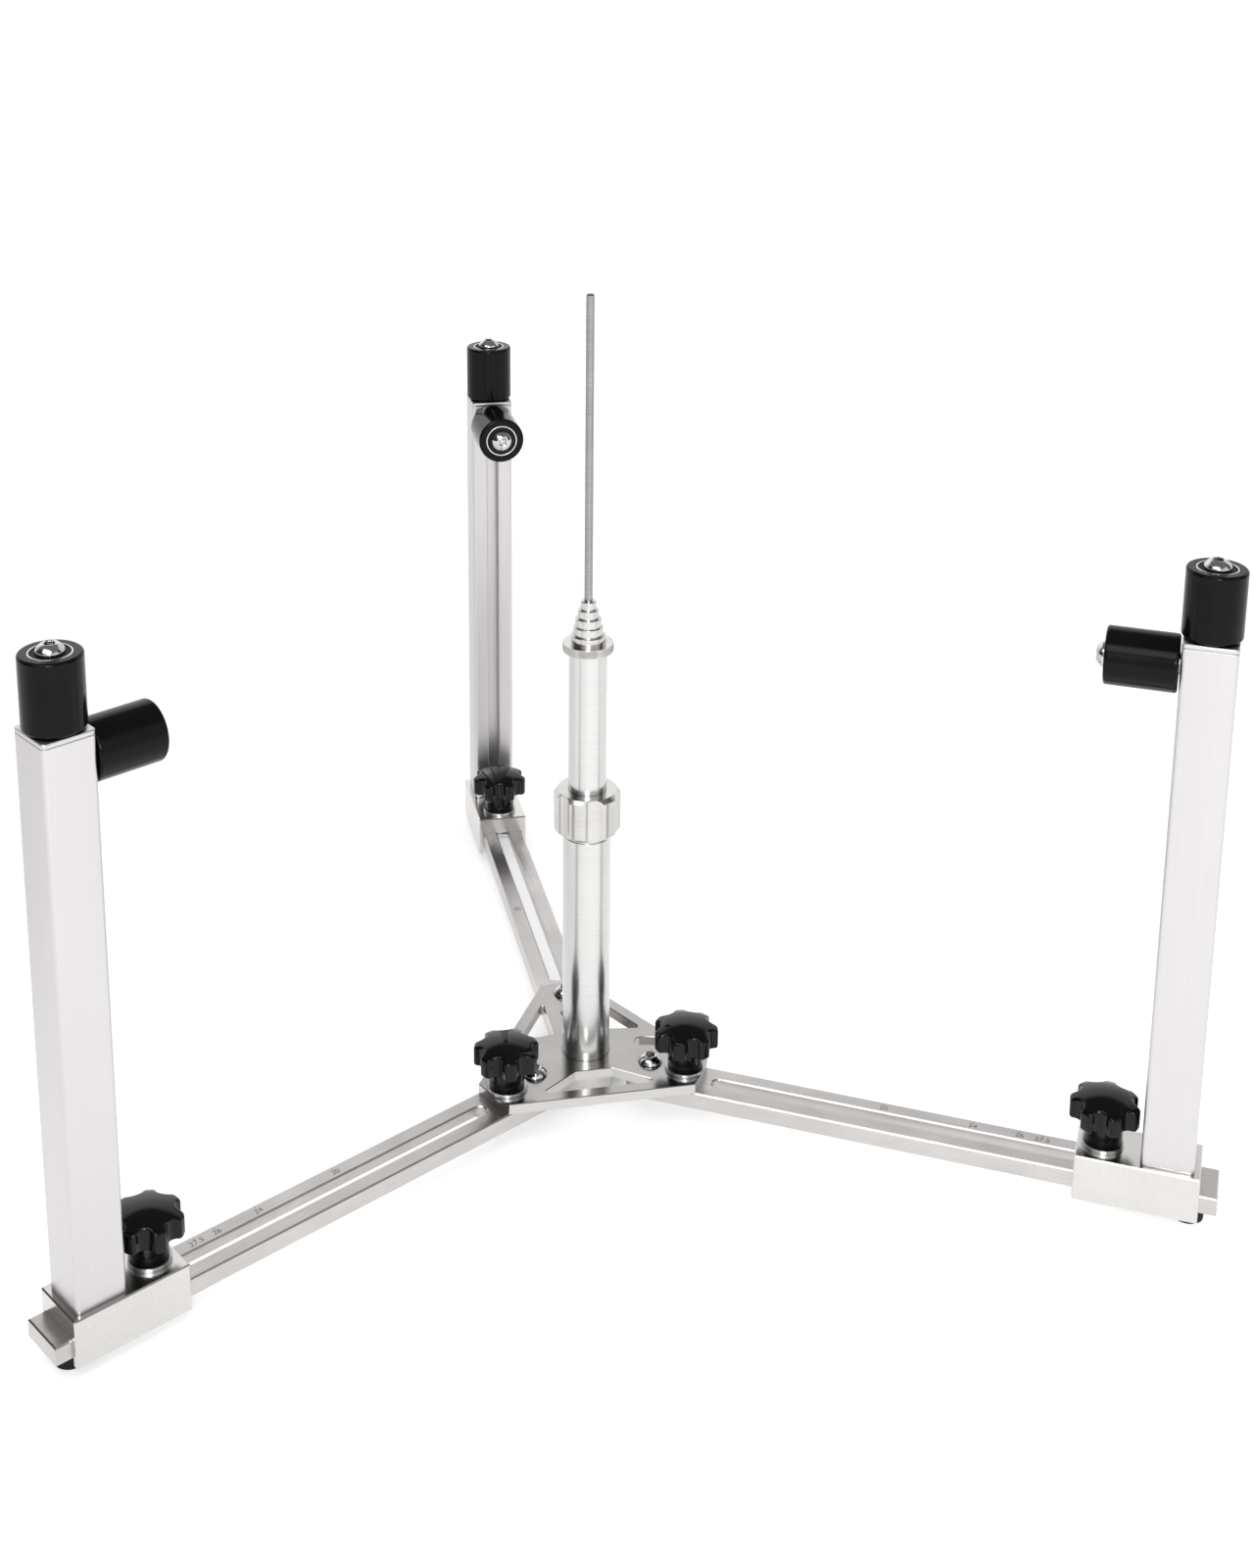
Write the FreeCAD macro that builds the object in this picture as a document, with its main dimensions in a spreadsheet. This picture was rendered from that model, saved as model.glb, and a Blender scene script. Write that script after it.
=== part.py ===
"""Bicycle wheel truing stand: three slotted arms on a triangular hub plate, a roller post on a
sliding carriage on each arm, and a telescoping column that centres the wheel's hub.

Frame: millimetres, +Z up, origin on the column's axis at floor level.  The rear arm points along +Y
and the two front arms, which fold about their pivot screws, point 120 degrees to either side of it.
"""
import FreeCAD, Part
import math
import os
import Sketcher
from FreeCAD import Placement, Rotation, Vector

doc = FreeCAD.newDocument("truing_stand")
sheet = doc.addObject("Spreadsheet::Sheet", "Sizes")

# --------------------------------------------------------------------------------------------
# Driving sizes, in millimetres and degrees
# --------------------------------------------------------------------------------------------
DRIVING = [
    ("post_reach", 333.5, "column axis to the middle of each post"),
    ("pivot_reach", 40, "column axis to the pivot screw of an arm"),
    ("clamp_pitch", 21, "pivot screw to the clamping stud of an arm"),
    ("running_gap", 0.05, "clearance per side between pieces that slide or turn"),
    ("stud_gap", 0.2, "clearance per side of a plain stud hole or slot"),
    ("plate_thick", 6, "hub plate"),
    ("side_reach", 47.5, "column axis to a straight side of the hub plate"),
    ("lobe_reach", 72.5, "column axis to the round end of a plate lobe"),
    ("rim_band", 7.5, "band of metal between a window and the plate's side"),
    ("front_window_start", 22.5, "column axis to the near side of the front window"),
    ("front_window_half", 11, "half the length of the front window's near side"),
    ("front_window_tip", 35, "half the length of the front window's far side"),
    ("rib_half", 15.5, "half the width of the rib that runs out to the rear arm"),
    ("side_window_start", 18, "column axis to the inner corner of a side window"),
    ("side_window_tip", 37.5, "rear arm's axis to the outer corner of a side window"),
    ("window_corner", 1.6, "corner radius of the windows"),
    ("plate_edge", 0.4, "chamfer on the plate's top edge"),
    ("arm_width", 28, "arm bar"),
    ("arm_thick", 10, "arm bar"),
    ("arm_stub", 9.5, "arm beyond the carriage"),
    ("arm_edge", 0.8, "chamfer on the arm's long edges"),
    ("front_slot_gap", 9.5, "hub plate's lobe to the slot's inner centre, front arms"),
    ("rear_slot_gap", 17.5, "hub plate's lobe to the slot's inner centre, rear arm"),
    ("slot_spare", 34, "slot's centre line beyond the carriage's stud"),
    ("channel_width", 17, "channel under the arm's slot, for the slot nut"),
    ("channel_depth", 5, "channel under the arm's slot, for the slot nut"),
    ("foot_height", 12, "floor to the underside of the arms"),
    ("foot_radius", 9, "rubber foot"),
    ("foot_setback", 15, "arm's outer end to the middle of its rubber foot"),
    ("foot_stem_radius", 3, "stem of the foot, pressed into the arm"),
    ("foot_stem_depth", 6, "stem of the foot, pressed into the arm"),
    ("foot_taper", 0.4, "how much the foot narrows at the floor"),
    ("boss_radius", 15.5, "boss under the hub plate"),
    ("pad_height", 3, "rubber pad under the boss"),
    ("pad_radius", 14, "rubber pad under the boss"),
    ("column_bolt_radius", 5, "bolt that holds the column to the plate"),
    ("column_head_radius", 8, "its head"),
    ("column_head_height", 6, "its head"),
    ("column_head_rise", 1, "pad to the column bolt's head"),
    ("column_bolt_grip", 14, "thread of the column bolt inside the column"),
    ("column_web", 17.5, "solid foot of the column tube"),
    ("column_radius", 14, "lower column tube"),
    ("collar_grip", 16, "length of the column's thread inside the clamp collar"),
    ("mast_radius", 11, "upper tube, which slides in the column"),
    ("mast_wall", 2, "wall of the upper tube"),
    ("mast_base", 97, "floor to the lower end of the upper tube"),
    ("mast_top", 283, "floor to the upper end of the upper tube"),
    ("thread_groove_width", 1.4, "relief groove below the column's thread"),
    ("thread_groove_depth", 0.5, "relief groove below the column's thread"),
    ("collar_radius", 19.3, "fluted clamp collar"),
    ("collar_base", 171.5, "floor to the collar's lower face"),
    ("collar_height", 26, "clamp collar"),
    ("collar_chamfer", 2.2, "clamp collar"),
    ("collar_lip", 2.2, "lip that presses on the collet"),
    ("collar_flutes", 6, "number of flutes"),
    ("flute_radius", 9, "flute in the collar"),
    ("flute_depth", 2.4, "flute in the collar"),
    ("collet_wall", 2.4, "split collet, at its wide end"),
    ("collet_tip_wall", 1.4, "split collet, at its narrow end"),
    ("collet_height", 7.4, "split collet"),
    ("collet_slit", 2, "slit through the collet"),
    ("flange_radius", 14.3, "knurled flange of the hub adapter"),
    ("flange_height", 5, "knurled flange of the hub adapter"),
    ("spigot_length", 16, "spigot of the adapter inside the upper tube"),
    ("step_a_radius", 10, "lowest step of the hub adapter"),
    ("step_b_radius", 8.5, "second step"),
    ("step_c_radius", 7.5, "third step"),
    ("step_d_radius", 6, "fourth step"),
    ("step_e_radius", 4.5, "top step"),
    ("step_height", 5, "each step of the hub adapter"),
    ("step_edge", 0.5, "chamfer at the top of each step"),
    ("rod_radius", 2.4, "guide rod through the wheel's axle"),
    ("rod_top", 490.5, "floor to the rod's tip"),
    ("rod_root_radius", 2, "root of the rod, screwed into the adapter"),
    ("rod_root_length", 24, "root of the rod, screwed into the adapter"),
    ("rod_tip", 0.8, "chamfer at the rod's tip"),
    ("post_side", 28, "square post tube"),
    ("post_wall", 2, "square post tube"),
    ("post_corner", 2.2, "outer corner radius of the post"),
    ("post_height", 300.5, "square post tube without its cap"),
    ("cap_thick", 2.5, "cap plate on the post"),
    ("cap_plug_depth", 38, "plug of the cap inside the post"),
    ("carriage_width", 34, "carriage block"),
    ("carriage_roof", 11.5, "metal above the arm"),
    ("carriage_clear", 7, "floor to the carriage's underside"),
    ("carriage_outer", 17.5, "post centre to the carriage's outer end"),
    ("carriage_inner", 48.5, "post centre to the carriage's inner end"),
    ("spigot_height", 14, "spigot of the carriage inside the post"),
    ("carriage_edge", 0.7, "chamfer on the carriage's top edge"),
    ("knob_setback", 35, "post centre to the carriage's clamping stud"),
    ("nut_length", 12, "slot nut, along the arm"),
    ("nut_thick", 3.5, "slot nut"),
    ("stud_radius", 4, "M8 clamping stud"),
    ("stud_grip", 12, "stud inside the knob"),
    ("stud_short", 1, "arm's stud stops this far above the arm's underside"),
    ("ring_radius", 11.4, "polished ring at the foot of a knob"),
    ("ring_height", 2.2, "polished ring at the foot of a knob"),
    ("knob_radius", 19, "star knob"),
    ("knob_height", 31, "star knob with its ring"),
    ("knob_head", 15.5, "height of the lobed head"),
    ("knob_crown", 4.4, "how far the head's top bulges"),
    ("knob_crown_flat", 9.5, "flatter middle of the head's top"),
    ("knob_crown_rise", 1.1, "how far the flatter middle bulges"),
    ("knob_stem_radius", 10.3, "stem of the knob"),
    ("knob_lobes", 7, "number of lobes"),
    ("lobe_round", 2.2, "rounding of a lobe's upright edges"),
    ("valley_radius", 4.8, "valley between two lobes"),
    ("valley_depth", 4.3, "valley between two lobes"),
    ("roller_radius", 15.5, "rim roller"),
    ("roller_length", 37, "rim roller"),
    ("roller_round", 1.6, "rounding of the roller's ends"),
    ("roller_gap", 0.8, "post to roller"),
    ("support_drop", 16.5, "top of the cap to the lying roller's axis"),
    ("bearing_radius", 11, "608 ball bearing"),
    ("bearing_width", 7, "608 ball bearing"),
    ("race_wall", 2, "outer race of the bearing"),
    ("inner_race_radius", 6, "inner race of the bearing"),
    ("shield_thick", 0.8, "shield of the bearing"),
    ("shield_recess", 0.3, "shield of the bearing"),
    ("bolt_radius", 4, "M8 roller bolt"),
    ("bolt_length", 45, "M8 roller bolt"),
    ("bolt_head_radius", 7, "M8 button head"),
    ("bolt_head_height", 4.4, "M8 button head"),
    ("bolt_head_round", 3, "M8 button head"),
    ("socket_radius", 2.9, "hex socket, middle to a corner"),
    ("socket_depth", 2.6, "hex socket"),
    ("bolt_runout", 1, "threaded hole beyond a bolt's end"),
    ("rear_screw_length", 14.5, "shank of the screws that hold the rear arm"),
    ("pivot_screw_length", 19.5, "shank of the screws that the front arms turn on"),
    ("pivot_nut_radius", 7.5, "hex nut on a pivot screw, across its corners"),
    ("pivot_nut_height", 4, "hex nut on a pivot screw"),
]


class Size:
    """A length that knows its number and the sheet expression that drives it."""

    def __init__(self, number, text):
        self.number = float(number)
        self.text = text

    def joined(self, sign, other, number):
        return Size(number, "(%s %s %s)" % (self.text, sign, text_of(other)))

    def __add__(self, other):
        return self.joined("+", other, self.number + number_of(other))

    def __sub__(self, other):
        return self.joined("-", other, self.number - number_of(other))

    def __mul__(self, other):
        return self.joined("*", other, self.number * number_of(other))

    def __truediv__(self, other):
        return self.joined("/", other, self.number / number_of(other))

    def __neg__(self):
        return Size(-self.number, "(0 - %s)" % self.text)


def number_of(value):
    return value.number if isinstance(value, Size) else float(value)


def text_of(value):
    return value.text if isinstance(value, Size) else repr(float(value))


class Sizes:
    """The driving sizes by name."""


for row, (name, number, note) in enumerate(DRIVING, start=1):
    sheet.set("A%d" % row, name)
    sheet.set("B%d" % row, str(number))
    sheet.set("C%d" % row, note)
    sheet.setAlias("B%d" % row, name)
    setattr(Sizes, name, Size(number, "Sizes.%s" % name))
doc.recompute()

s = Sizes
ZERO = Size(0, "0")
NEARLY = 1e-4
THROUGH = 2          # mm that a cutting tool runs past the face it cuts
FULL_TURN = 360
QUARTER_TURN = 90
TRIANGLE = 3
HEXAGON = 6

# Levels above the floor
arm_top = s.foot_height + s.arm_thick
plate_top = arm_top + s.plate_thick
carriage_top = arm_top + s.carriage_roof
post_top = carriage_top + s.post_height
cap_top = post_top + s.cap_thick
column_top = s.collar_base + s.collar_grip
clamp_reach = s.pivot_reach + s.clamp_pitch
knob_reach = s.post_reach - s.knob_setback
support_level = cap_top - s.support_drop
arm_reach = s.post_reach + s.carriage_outer + s.arm_stub
foot_reach = arm_reach - s.foot_setback
slot_finish = knob_reach + s.slot_spare
inner_face = s.post_reach - s.post_side / 2
channel_top = s.foot_height + s.channel_depth
nut_base = channel_top - s.running_gap - s.nut_thick
mast_bore = s.mast_radius - s.mast_wall
post_bore = s.post_side - s.post_wall * 2
slot_half = s.stud_radius + s.stud_gap
stud_bore = s.stud_radius + s.running_gap

REAR_ANGLE = 90
THIRD_TURN = 120
STATION_ANGLE = {"rear": REAR_ANGLE, "left": REAR_ANGLE + THIRD_TURN, "right": REAR_ANGLE - THIRD_TURN}
FRONT_STATIONS = ("left", "right")
UPRIGHT = Vector(0, 0, 1)
NODES = []


# --------------------------------------------------------------------------------------------
# Building blocks
# --------------------------------------------------------------------------------------------
def bind(thing, path, value):
    """Set a property by its sheet expression."""
    thing.setExpression(path, text_of(value))


def new(kind, name):
    return doc.addObject(kind, name)


def moved(thing, x=ZERO, y=ZERO, z=ZERO):
    """Place a tool or blank at a point given by sizes."""
    for axis, value in (("x", x), ("y", y), ("z", z)):
        if isinstance(value, Size) and value is not ZERO:
            bind(thing, "Placement.Base." + axis, value)
    return thing


def box(name, length, width, height, x=ZERO, y=ZERO, z=ZERO):
    """Block with its low corner at the given point."""
    block = new("Part::Box", name)
    bind(block, "Length", length)
    bind(block, "Width", width)
    bind(block, "Height", height)
    return moved(block, x, y, z)


def rod(name, radius, height, x=ZERO, y=ZERO, z=ZERO):
    """Upright cylinder standing on the given point."""
    cylinder = new("Part::Cylinder", name)
    bind(cylinder, "Radius", radius)
    bind(cylinder, "Height", height)
    return moved(cylinder, x, y, z)


def prism(name, sides, circumradius, height, z=ZERO):
    """Upright regular prism on the Z axis."""
    block = new("Part::Prism", name)
    block.Polygon = sides
    bind(block, "Circumradius", circumradius)
    bind(block, "Height", height)
    return moved(block, z=z)


def joined(name, pieces):
    fused = new("Part::MultiFuse", name)
    fused.Shapes = pieces
    fused.Refine = True
    return fused


def cut(name, base, tools):
    """The base with every tool taken away."""
    result = new("Part::Cut", name)
    result.Base = base
    result.Tool = tools[0] if len(tools) == 1 else joined(name + "_tools", tools)
    return result


def common(name, first, second):
    result = new("Part::Common", name)
    result.Base = first
    result.Tool = second
    return result


def softened(name, base, size, picks, kind="Part::Chamfer"):
    """Chamfer or fillet of the base's edges that the picking function accepts."""
    doc.recompute()
    result = new(kind, name)
    result.Base = base
    numbers = [i + 1 for i, edge in enumerate(base.Shape.Edges) if picks(edge)]
    result.Edges = [(i, size.number, size.number) for i in numbers]
    return result


def group(name, pieces):
    """Several solids kept apart in one object."""
    compound = new("Part::Compound", name)
    compound.Links = pieces
    return compound


def lying(name, piece, x, z):
    """The piece on its side, its top towards the column."""
    turned_piece = group(name, [piece])
    turned_piece.Placement = Placement(Vector(), Rotation(Vector(0, 1, 0), -QUARTER_TURN))
    return moved(turned_piece, x=x, z=z)


def node(label, thing):
    """Name a finished sub-part."""
    thing.Label = label
    NODES.append(thing)
    return thing


def at_station(label, piece, station, reach=ZERO, level=ZERO):
    """Finished copy of a piece, in an arm's direction at a distance from the column's axis."""
    angle = STATION_ANGLE[station]
    copy = group(label + "_placed", [piece])
    copy.Placement = Placement(Vector(), Rotation(UPRIGHT, angle))
    if reach is not ZERO:
        bind(copy, "Placement.Base.x", reach * math.cos(math.radians(angle)))
        bind(copy, "Placement.Base.y", reach * math.sin(math.radians(angle)))
    moved(copy, z=level)
    return node(label, copy)


def plane_of(body, role):
    return next(item for item in body.Origin.OriginFeatures if item.Role == role)


def drawn(body, name, role):
    """Sketch on one of the body's own planes."""
    sketch = body.newObject("Sketcher::SketchObject", name)
    sketch.AttachmentSupport = [(plane_of(body, role), "")]
    sketch.MapMode = "FlatFace"
    return sketch


def pin_point(sketch, geometry, point, x, y):
    """Hold one point of a sketch at sizes from the sketch's origin."""
    for kind, value in (("DistanceX", x), ("DistanceY", y)):
        index = sketch.addConstraint(Sketcher.Constraint(kind, -1, 1, geometry, point, number_of(value)))
        if isinstance(value, Size) and value is not ZERO:
            sketch.setExpression("Constraints[%d]" % index, value.text)


def polygon(sketch, corners):
    """Closed outline through corners that are pairs of sizes."""
    points = [Vector(number_of(x), number_of(y), 0) for x, y in corners]
    first = sketch.GeometryCount
    count = len(points)
    for i in range(count):
        sketch.addGeometry(Part.LineSegment(points[i], points[(i + 1) % count]), False)
    for i in range(count):
        after = (i + 1) % count
        sketch.addConstraint(Sketcher.Constraint("Coincident", first + i, 2, first + after, 1))
    for i, (x, y) in enumerate(corners):
        pin_point(sketch, first + i, 1, x, y)


def turned(name, profile, rounds=()):
    """Body of revolution about Z from (radius, level) corners, with some circular edges rounded."""
    body = new("PartDesign::Body", name)
    sketch = drawn(body, name + "_profile", "XZ_Plane")
    polygon(sketch, profile)
    spin = body.newObject("PartDesign::Revolution", name + "_spin")
    spin.Profile = sketch
    spin.ReferenceAxis = (sketch, ["V_Axis"])
    spin.Angle = FULL_TURN
    doc.recompute()
    for count, (radius, level, size) in enumerate(rounds):
        round_ring(body, "%s_round_%d" % (name, count), radius, level, size)
    return body


def round_ring(body, name, radius, level, size, kind="PartDesign::Fillet"):
    """Round or chamfer the body's circular edge of this radius at this level."""
    before = body.Tip
    edges = [
        "Edge%d" % (i + 1)
        for i, edge in enumerate(before.Shape.Edges)
        if isinstance(edge.Curve, Part.Circle)
        and abs(edge.Curve.Radius - radius.number) < NEARLY
        and abs(edge.Curve.Center.z - level.number) < NEARLY
    ]
    dressed = body.newObject(kind, name)
    dressed.Base = (before, edges)
    bind(dressed, "Radius" if kind.endswith("Fillet") else "Size", size)
    body.Tip = dressed
    doc.recompute()


def is_upright(edge):
    return isinstance(edge.Curve, Part.Line) and abs(edge.tangentAt(edge.FirstParameter).z) > 0.999


def lies_at(level):
    """Picks the edges that lie flat at a level."""
    return lambda edge: all(abs(v.Z - level.number) < NEARLY for v in edge.Vertexes) and not is_upright(edge)


def ring(name, inner, outer, base, height):
    """Plain tube about Z."""
    top = base + height
    return turned(name, [(inner, base), (outer, base), (outer, top), (inner, top)])


def button_screw(name, length):
    """Button-head screw with a hex socket; its head's underside is at the origin."""
    head, shank = s.bolt_head_radius, s.bolt_radius
    top = s.bolt_head_height
    profile = [(ZERO, -length), (shank, -length), (shank, ZERO), (head, ZERO), (head, top), (ZERO, top)]
    screw = turned(name + "_blank", profile, [(head, top, s.bolt_head_round)])
    depth = s.socket_depth
    socket = prism(name + "_socket", HEXAGON, s.socket_radius, depth + THROUGH, z=top - depth)
    return cut(name, screw, [socket])


# --------------------------------------------------------------------------------------------
# Hub plate: a triangle with its three corners cut to round lobes, one over each arm
# --------------------------------------------------------------------------------------------
def window(name, corners):
    """Cutter for a window with rounded corners."""
    body = new("PartDesign::Body", name)
    sketch = drawn(body, name + "_outline", "XY_Plane")
    polygon(sketch, corners)
    pad = body.newObject("PartDesign::Pad", name + "_pad")
    pad.Profile = sketch
    bind(pad, "Length", plate_top + THROUGH)
    doc.recompute()
    edges = ["Edge%d" % (i + 1) for i, edge in enumerate(pad.Shape.Edges) if is_upright(edge)]
    fillet = body.newObject("PartDesign::Fillet", name + "_corners")
    fillet.Base = (pad, edges)
    bind(fillet, "Radius", s.window_corner)
    body.Tip = fillet
    return body


def arc_slot(station):
    """Cutter for the slot that an arm's clamping stud follows while the arm folds."""
    x = s.pivot_reach * math.cos(math.radians(STATION_ANGLE[station]))
    y = s.pivot_reach * math.sin(math.radians(STATION_ANGLE[station]))
    start = min(STATION_ANGLE[station], REAR_ANGLE)
    name = station + "_arc"
    outer = rod(name + "_outer", s.clamp_pitch + slot_half, plate_top + THROUGH, x, y)
    outer.Angle = THIRD_TURN
    outer.Placement = Placement(Vector(), Rotation(UPRIGHT, start))
    inner = rod(name + "_inner", s.clamp_pitch - slot_half, plate_top + THROUGH * 2, x, y)
    moved(outer, x, y)
    pieces = [cut(name + "_band", outer, [inner])]
    for end, angle in (("first", start), ("last", start + THIRD_TURN)):
        end_x = x + s.clamp_pitch * math.cos(math.radians(angle))
        end_y = y + s.clamp_pitch * math.sin(math.radians(angle))
        pieces.append(rod(name + "_" + end, slot_half, plate_top + THROUGH, end_x, end_y))
    return joined(name, pieces)


def make_hub_plate():
    disc = rod("plate_disc", s.lobe_reach, s.plate_thick, z=arm_top)
    triangle = prism("plate_triangle", TRIANGLE, s.side_reach * 2, s.plate_thick)
    triangle.Placement = Placement(Vector(), Rotation(UPRIGHT, REAR_ANGLE))
    moved(triangle, z=arm_top)
    blank = common("plate_blank", disc, triangle)
    band = s.side_reach - s.rim_band
    tools = [
        window(
            "front_window",
            [
                (-s.front_window_tip, -band),
                (s.front_window_tip, -band),
                (s.front_window_half, -s.front_window_start),
                (-s.front_window_half, -s.front_window_start),
            ],
        )
    ]
    slope = math.radians(REAR_ANGLE - THIRD_TURN / 2)
    for side, hand in (("right", 1), ("left", -1)):
        rib, tip = s.rib_half, s.side_window_tip
        corners = [
            (rib * hand, s.side_window_start),
            (tip * hand, (band - tip * math.cos(slope)) / math.sin(slope)),
            (rib * hand, (band - rib * math.cos(slope)) / math.sin(slope)),
        ]
        tools.append(window(side + "_window", corners))
    tools.append(rod("column_bolt_hole", s.column_bolt_radius, plate_top + THROUGH))
    for reach in (s.pivot_reach, clamp_reach):
        tools.append(rod("rear_screw_hole", s.bolt_radius, plate_top + THROUGH, y=reach))
    for station in FRONT_STATIONS:
        x = s.pivot_reach * math.cos(math.radians(STATION_ANGLE[station]))
        y = s.pivot_reach * math.sin(math.radians(STATION_ANGLE[station]))
        tools.append(rod(station + "_pivot_hole", s.bolt_radius, plate_top + THROUGH, x, y))
        tools.append(arc_slot(station))
    sharp = cut("hub_plate_cut", blank, tools)
    node("hub_plate", softened("hub_plate_edged", sharp, s.plate_edge, lies_at(plate_top)))


# --------------------------------------------------------------------------------------------
# Column: boss and pad under the plate, lower tube, clamp collar with its collet, upper tube
# --------------------------------------------------------------------------------------------
def make_column():
    recess = s.column_head_radius + s.stud_gap
    recess_top = s.pad_height + s.column_head_rise + s.column_head_height
    bolt = s.column_bolt_radius
    boss = [
        (recess, s.pad_height),
        (s.boss_radius, s.pad_height),
        (s.boss_radius, arm_top),
        (bolt, arm_top),
        (bolt, recess_top),
        (recess, recess_top),
    ]
    node("centre_boss", turned("boss", boss))
    pad = [(ZERO, ZERO), (s.pad_radius, ZERO), (s.pad_radius, s.pad_height), (ZERO, s.pad_height)]
    node("centre_pad", turned("pad", pad))

    head_base = s.pad_height + s.column_head_rise
    bolt_top = plate_top + s.column_bolt_grip
    screw = [
        (ZERO, head_base),
        (s.column_head_radius, head_base),
        (s.column_head_radius, recess_top),
        (bolt, recess_top),
        (bolt, bolt_top),
        (ZERO, bolt_top),
    ]
    socket = prism("column_bolt_socket", HEXAGON, s.socket_radius, s.socket_depth, z=head_base)
    node("column_bolt", cut("column_bolt_cut", turned("column_bolt_blank", screw), [socket]))

    bore = s.mast_radius + s.running_gap
    web_top = plate_top + s.column_web
    hole_top = bolt_top + s.bolt_runout
    groove_top = s.collar_base - s.thread_groove_width
    groove_base = groove_top - s.thread_groove_width
    groove = s.column_radius - s.thread_groove_depth
    lower = [
        (bolt, plate_top),
        (s.column_radius, plate_top),
        (s.column_radius, groove_base),
        (groove, groove_base),
        (groove, groove_top),
        (s.column_radius, groove_top),
        (s.column_radius, column_top),
        (bore, column_top),
        (bore, web_top),
        (ZERO, web_top),
        (ZERO, hole_top),
        (bolt, hole_top),
    ]
    node("column_tube", turned("column", lower))
    node("upper_tube", ring("mast", mast_bore, s.mast_radius, s.mast_base, s.mast_top - s.mast_base))

    collet_top = column_top + s.collet_height
    collet = [
        (bore, column_top),
        (s.mast_radius + s.collet_wall, column_top),
        (s.mast_radius + s.collet_tip_wall, collet_top),
        (bore, collet_top),
    ]
    reach, width = s.collar_radius, s.collet_slit
    slit = box("slit", reach, width, s.collet_height, -reach, -width / 2, column_top)
    node("clamp_collet", cut("collet_cut", turned("collet", collet), [slit]))


def make_clamp_collar():
    """Collar with broad flutes, screwed over the column's end."""
    top = s.collar_base + s.collar_height
    thread = s.column_radius + s.running_gap
    lip = s.mast_radius + s.running_gap
    outer, edge = s.collar_radius, s.collar_chamfer
    profile = [
        (thread, s.collar_base),
        (outer - edge, s.collar_base),
        (outer, s.collar_base + edge),
        (outer, top - edge),
        (outer - edge, top),
        (lip, top),
        (lip, top - s.collar_lip),
        (thread, top - s.collar_lip),
    ]
    blank = turned("collar", profile)
    flutes = []
    count = int(s.collar_flutes.number)
    reach = outer + s.flute_radius - s.flute_depth
    for i in range(count):
        angle = math.radians(FULL_TURN * (i + 0.5) / count)
        x, y = reach * math.cos(angle), reach * math.sin(angle)
        flutes.append(rod("flute", s.flute_radius, s.collar_height, x, y, s.collar_base))
    node("clamp_collar", cut("collar_cut", blank, flutes))


def make_hub_adapter():
    """Knurled flange with a stair of steps that centre hubs of different bores, and its guide rod."""
    root = s.rod_root_radius
    spigot = mast_bore - s.running_gap
    spigot_base = s.mast_top - s.spigot_length
    level = s.mast_top + s.flange_height
    profile = [
        (ZERO, spigot_base),
        (spigot, spigot_base),
        (spigot, s.mast_top),
        (s.flange_radius, s.mast_top),
        (s.flange_radius, level),
    ]
    edges = []
    for radius in (s.step_a_radius, s.step_b_radius, s.step_c_radius, s.step_d_radius, s.step_e_radius):
        profile.append((radius, level))
        level = level + s.step_height
        profile.append((radius, level))
        edges.append((radius, level))
    steps_top = level
    root_base = steps_top - s.rod_root_length
    profile += [(root, steps_top), (root, root_base), (ZERO, root_base)]
    adapter = turned("adapter", profile)
    for count, (radius, height) in enumerate(edges):
        name = "adapter_edge_%d" % count
        round_ring(adapter, name, radius, height, s.step_edge, "PartDesign::Chamfer")
    node("hub_adapter", adapter)
    rod_profile = [
        (ZERO, root_base),
        (root, root_base),
        (root, steps_top),
        (s.rod_radius, steps_top),
        (s.rod_radius, s.rod_top - s.rod_tip),
        (s.rod_radius - s.rod_tip, s.rod_top),
        (ZERO, s.rod_top),
    ]
    node("guide_rod", turned("rod", rod_profile))


# --------------------------------------------------------------------------------------------
# Arms: flat bars with a long slot over a wider channel, a round inner end and a rubber foot
# --------------------------------------------------------------------------------------------
def arm(name, slot_start, hole_radius):
    """Arm along +X with two holes under the hub plate."""
    half, base = s.arm_width / 2, s.foot_height
    length = arm_reach - s.pivot_reach
    bar = box(name + "_bar", length, s.arm_width, s.arm_thick, s.pivot_reach, -half, base)
    end = rod(name + "_end", half, s.arm_thick, s.pivot_reach, z=base)
    blank = joined(name + "_blank", [bar, end])
    run, depth = slot_finish - slot_start, arm_top + THROUGH
    slot = [
        box(name + "_slot_run", run, slot_half * 2, depth, slot_start, -slot_half),
        rod(name + "_slot_start", slot_half, depth, slot_start),
        rod(name + "_slot_finish", slot_half, depth, slot_finish),
    ]
    width, channel_start = s.channel_width, slot_start - slot_half
    channel = box(name + "_channel", run + slot_half * 2, width, channel_top, channel_start, -width / 2)
    holes = [rod(name + "_hole", hole_radius, depth, reach) for reach in (s.pivot_reach, clamp_reach)]
    socket_top = s.foot_height + s.foot_stem_depth
    holes.append(rod(name + "_foot_hole", s.foot_stem_radius, socket_top, foot_reach))
    sharp = cut(name + "_sharp", blank, [joined(name + "_slot", slot), channel] + holes)
    return softened(name, sharp, s.arm_edge, lies_at(arm_top))


def make_arms():
    foot_profile = [
        (ZERO, ZERO),
        (s.foot_radius - s.foot_taper, ZERO),
        (s.foot_radius, s.foot_height),
        (s.foot_stem_radius, s.foot_height),
        (s.foot_stem_radius, s.foot_height + s.foot_stem_depth),
        (ZERO, s.foot_height + s.foot_stem_depth),
    ]
    foot = turned("foot", foot_profile)
    front = arm("front_bar", s.lobe_reach + s.front_slot_gap, stud_bore)
    rear = arm("rear_bar", s.lobe_reach + s.rear_slot_gap, s.bolt_radius)
    for station in STATION_ANGLE:
        at_station(station + "_arm", rear if station == "rear" else front, station)
        at_station(station + "_foot", foot, station, foot_reach)


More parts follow.
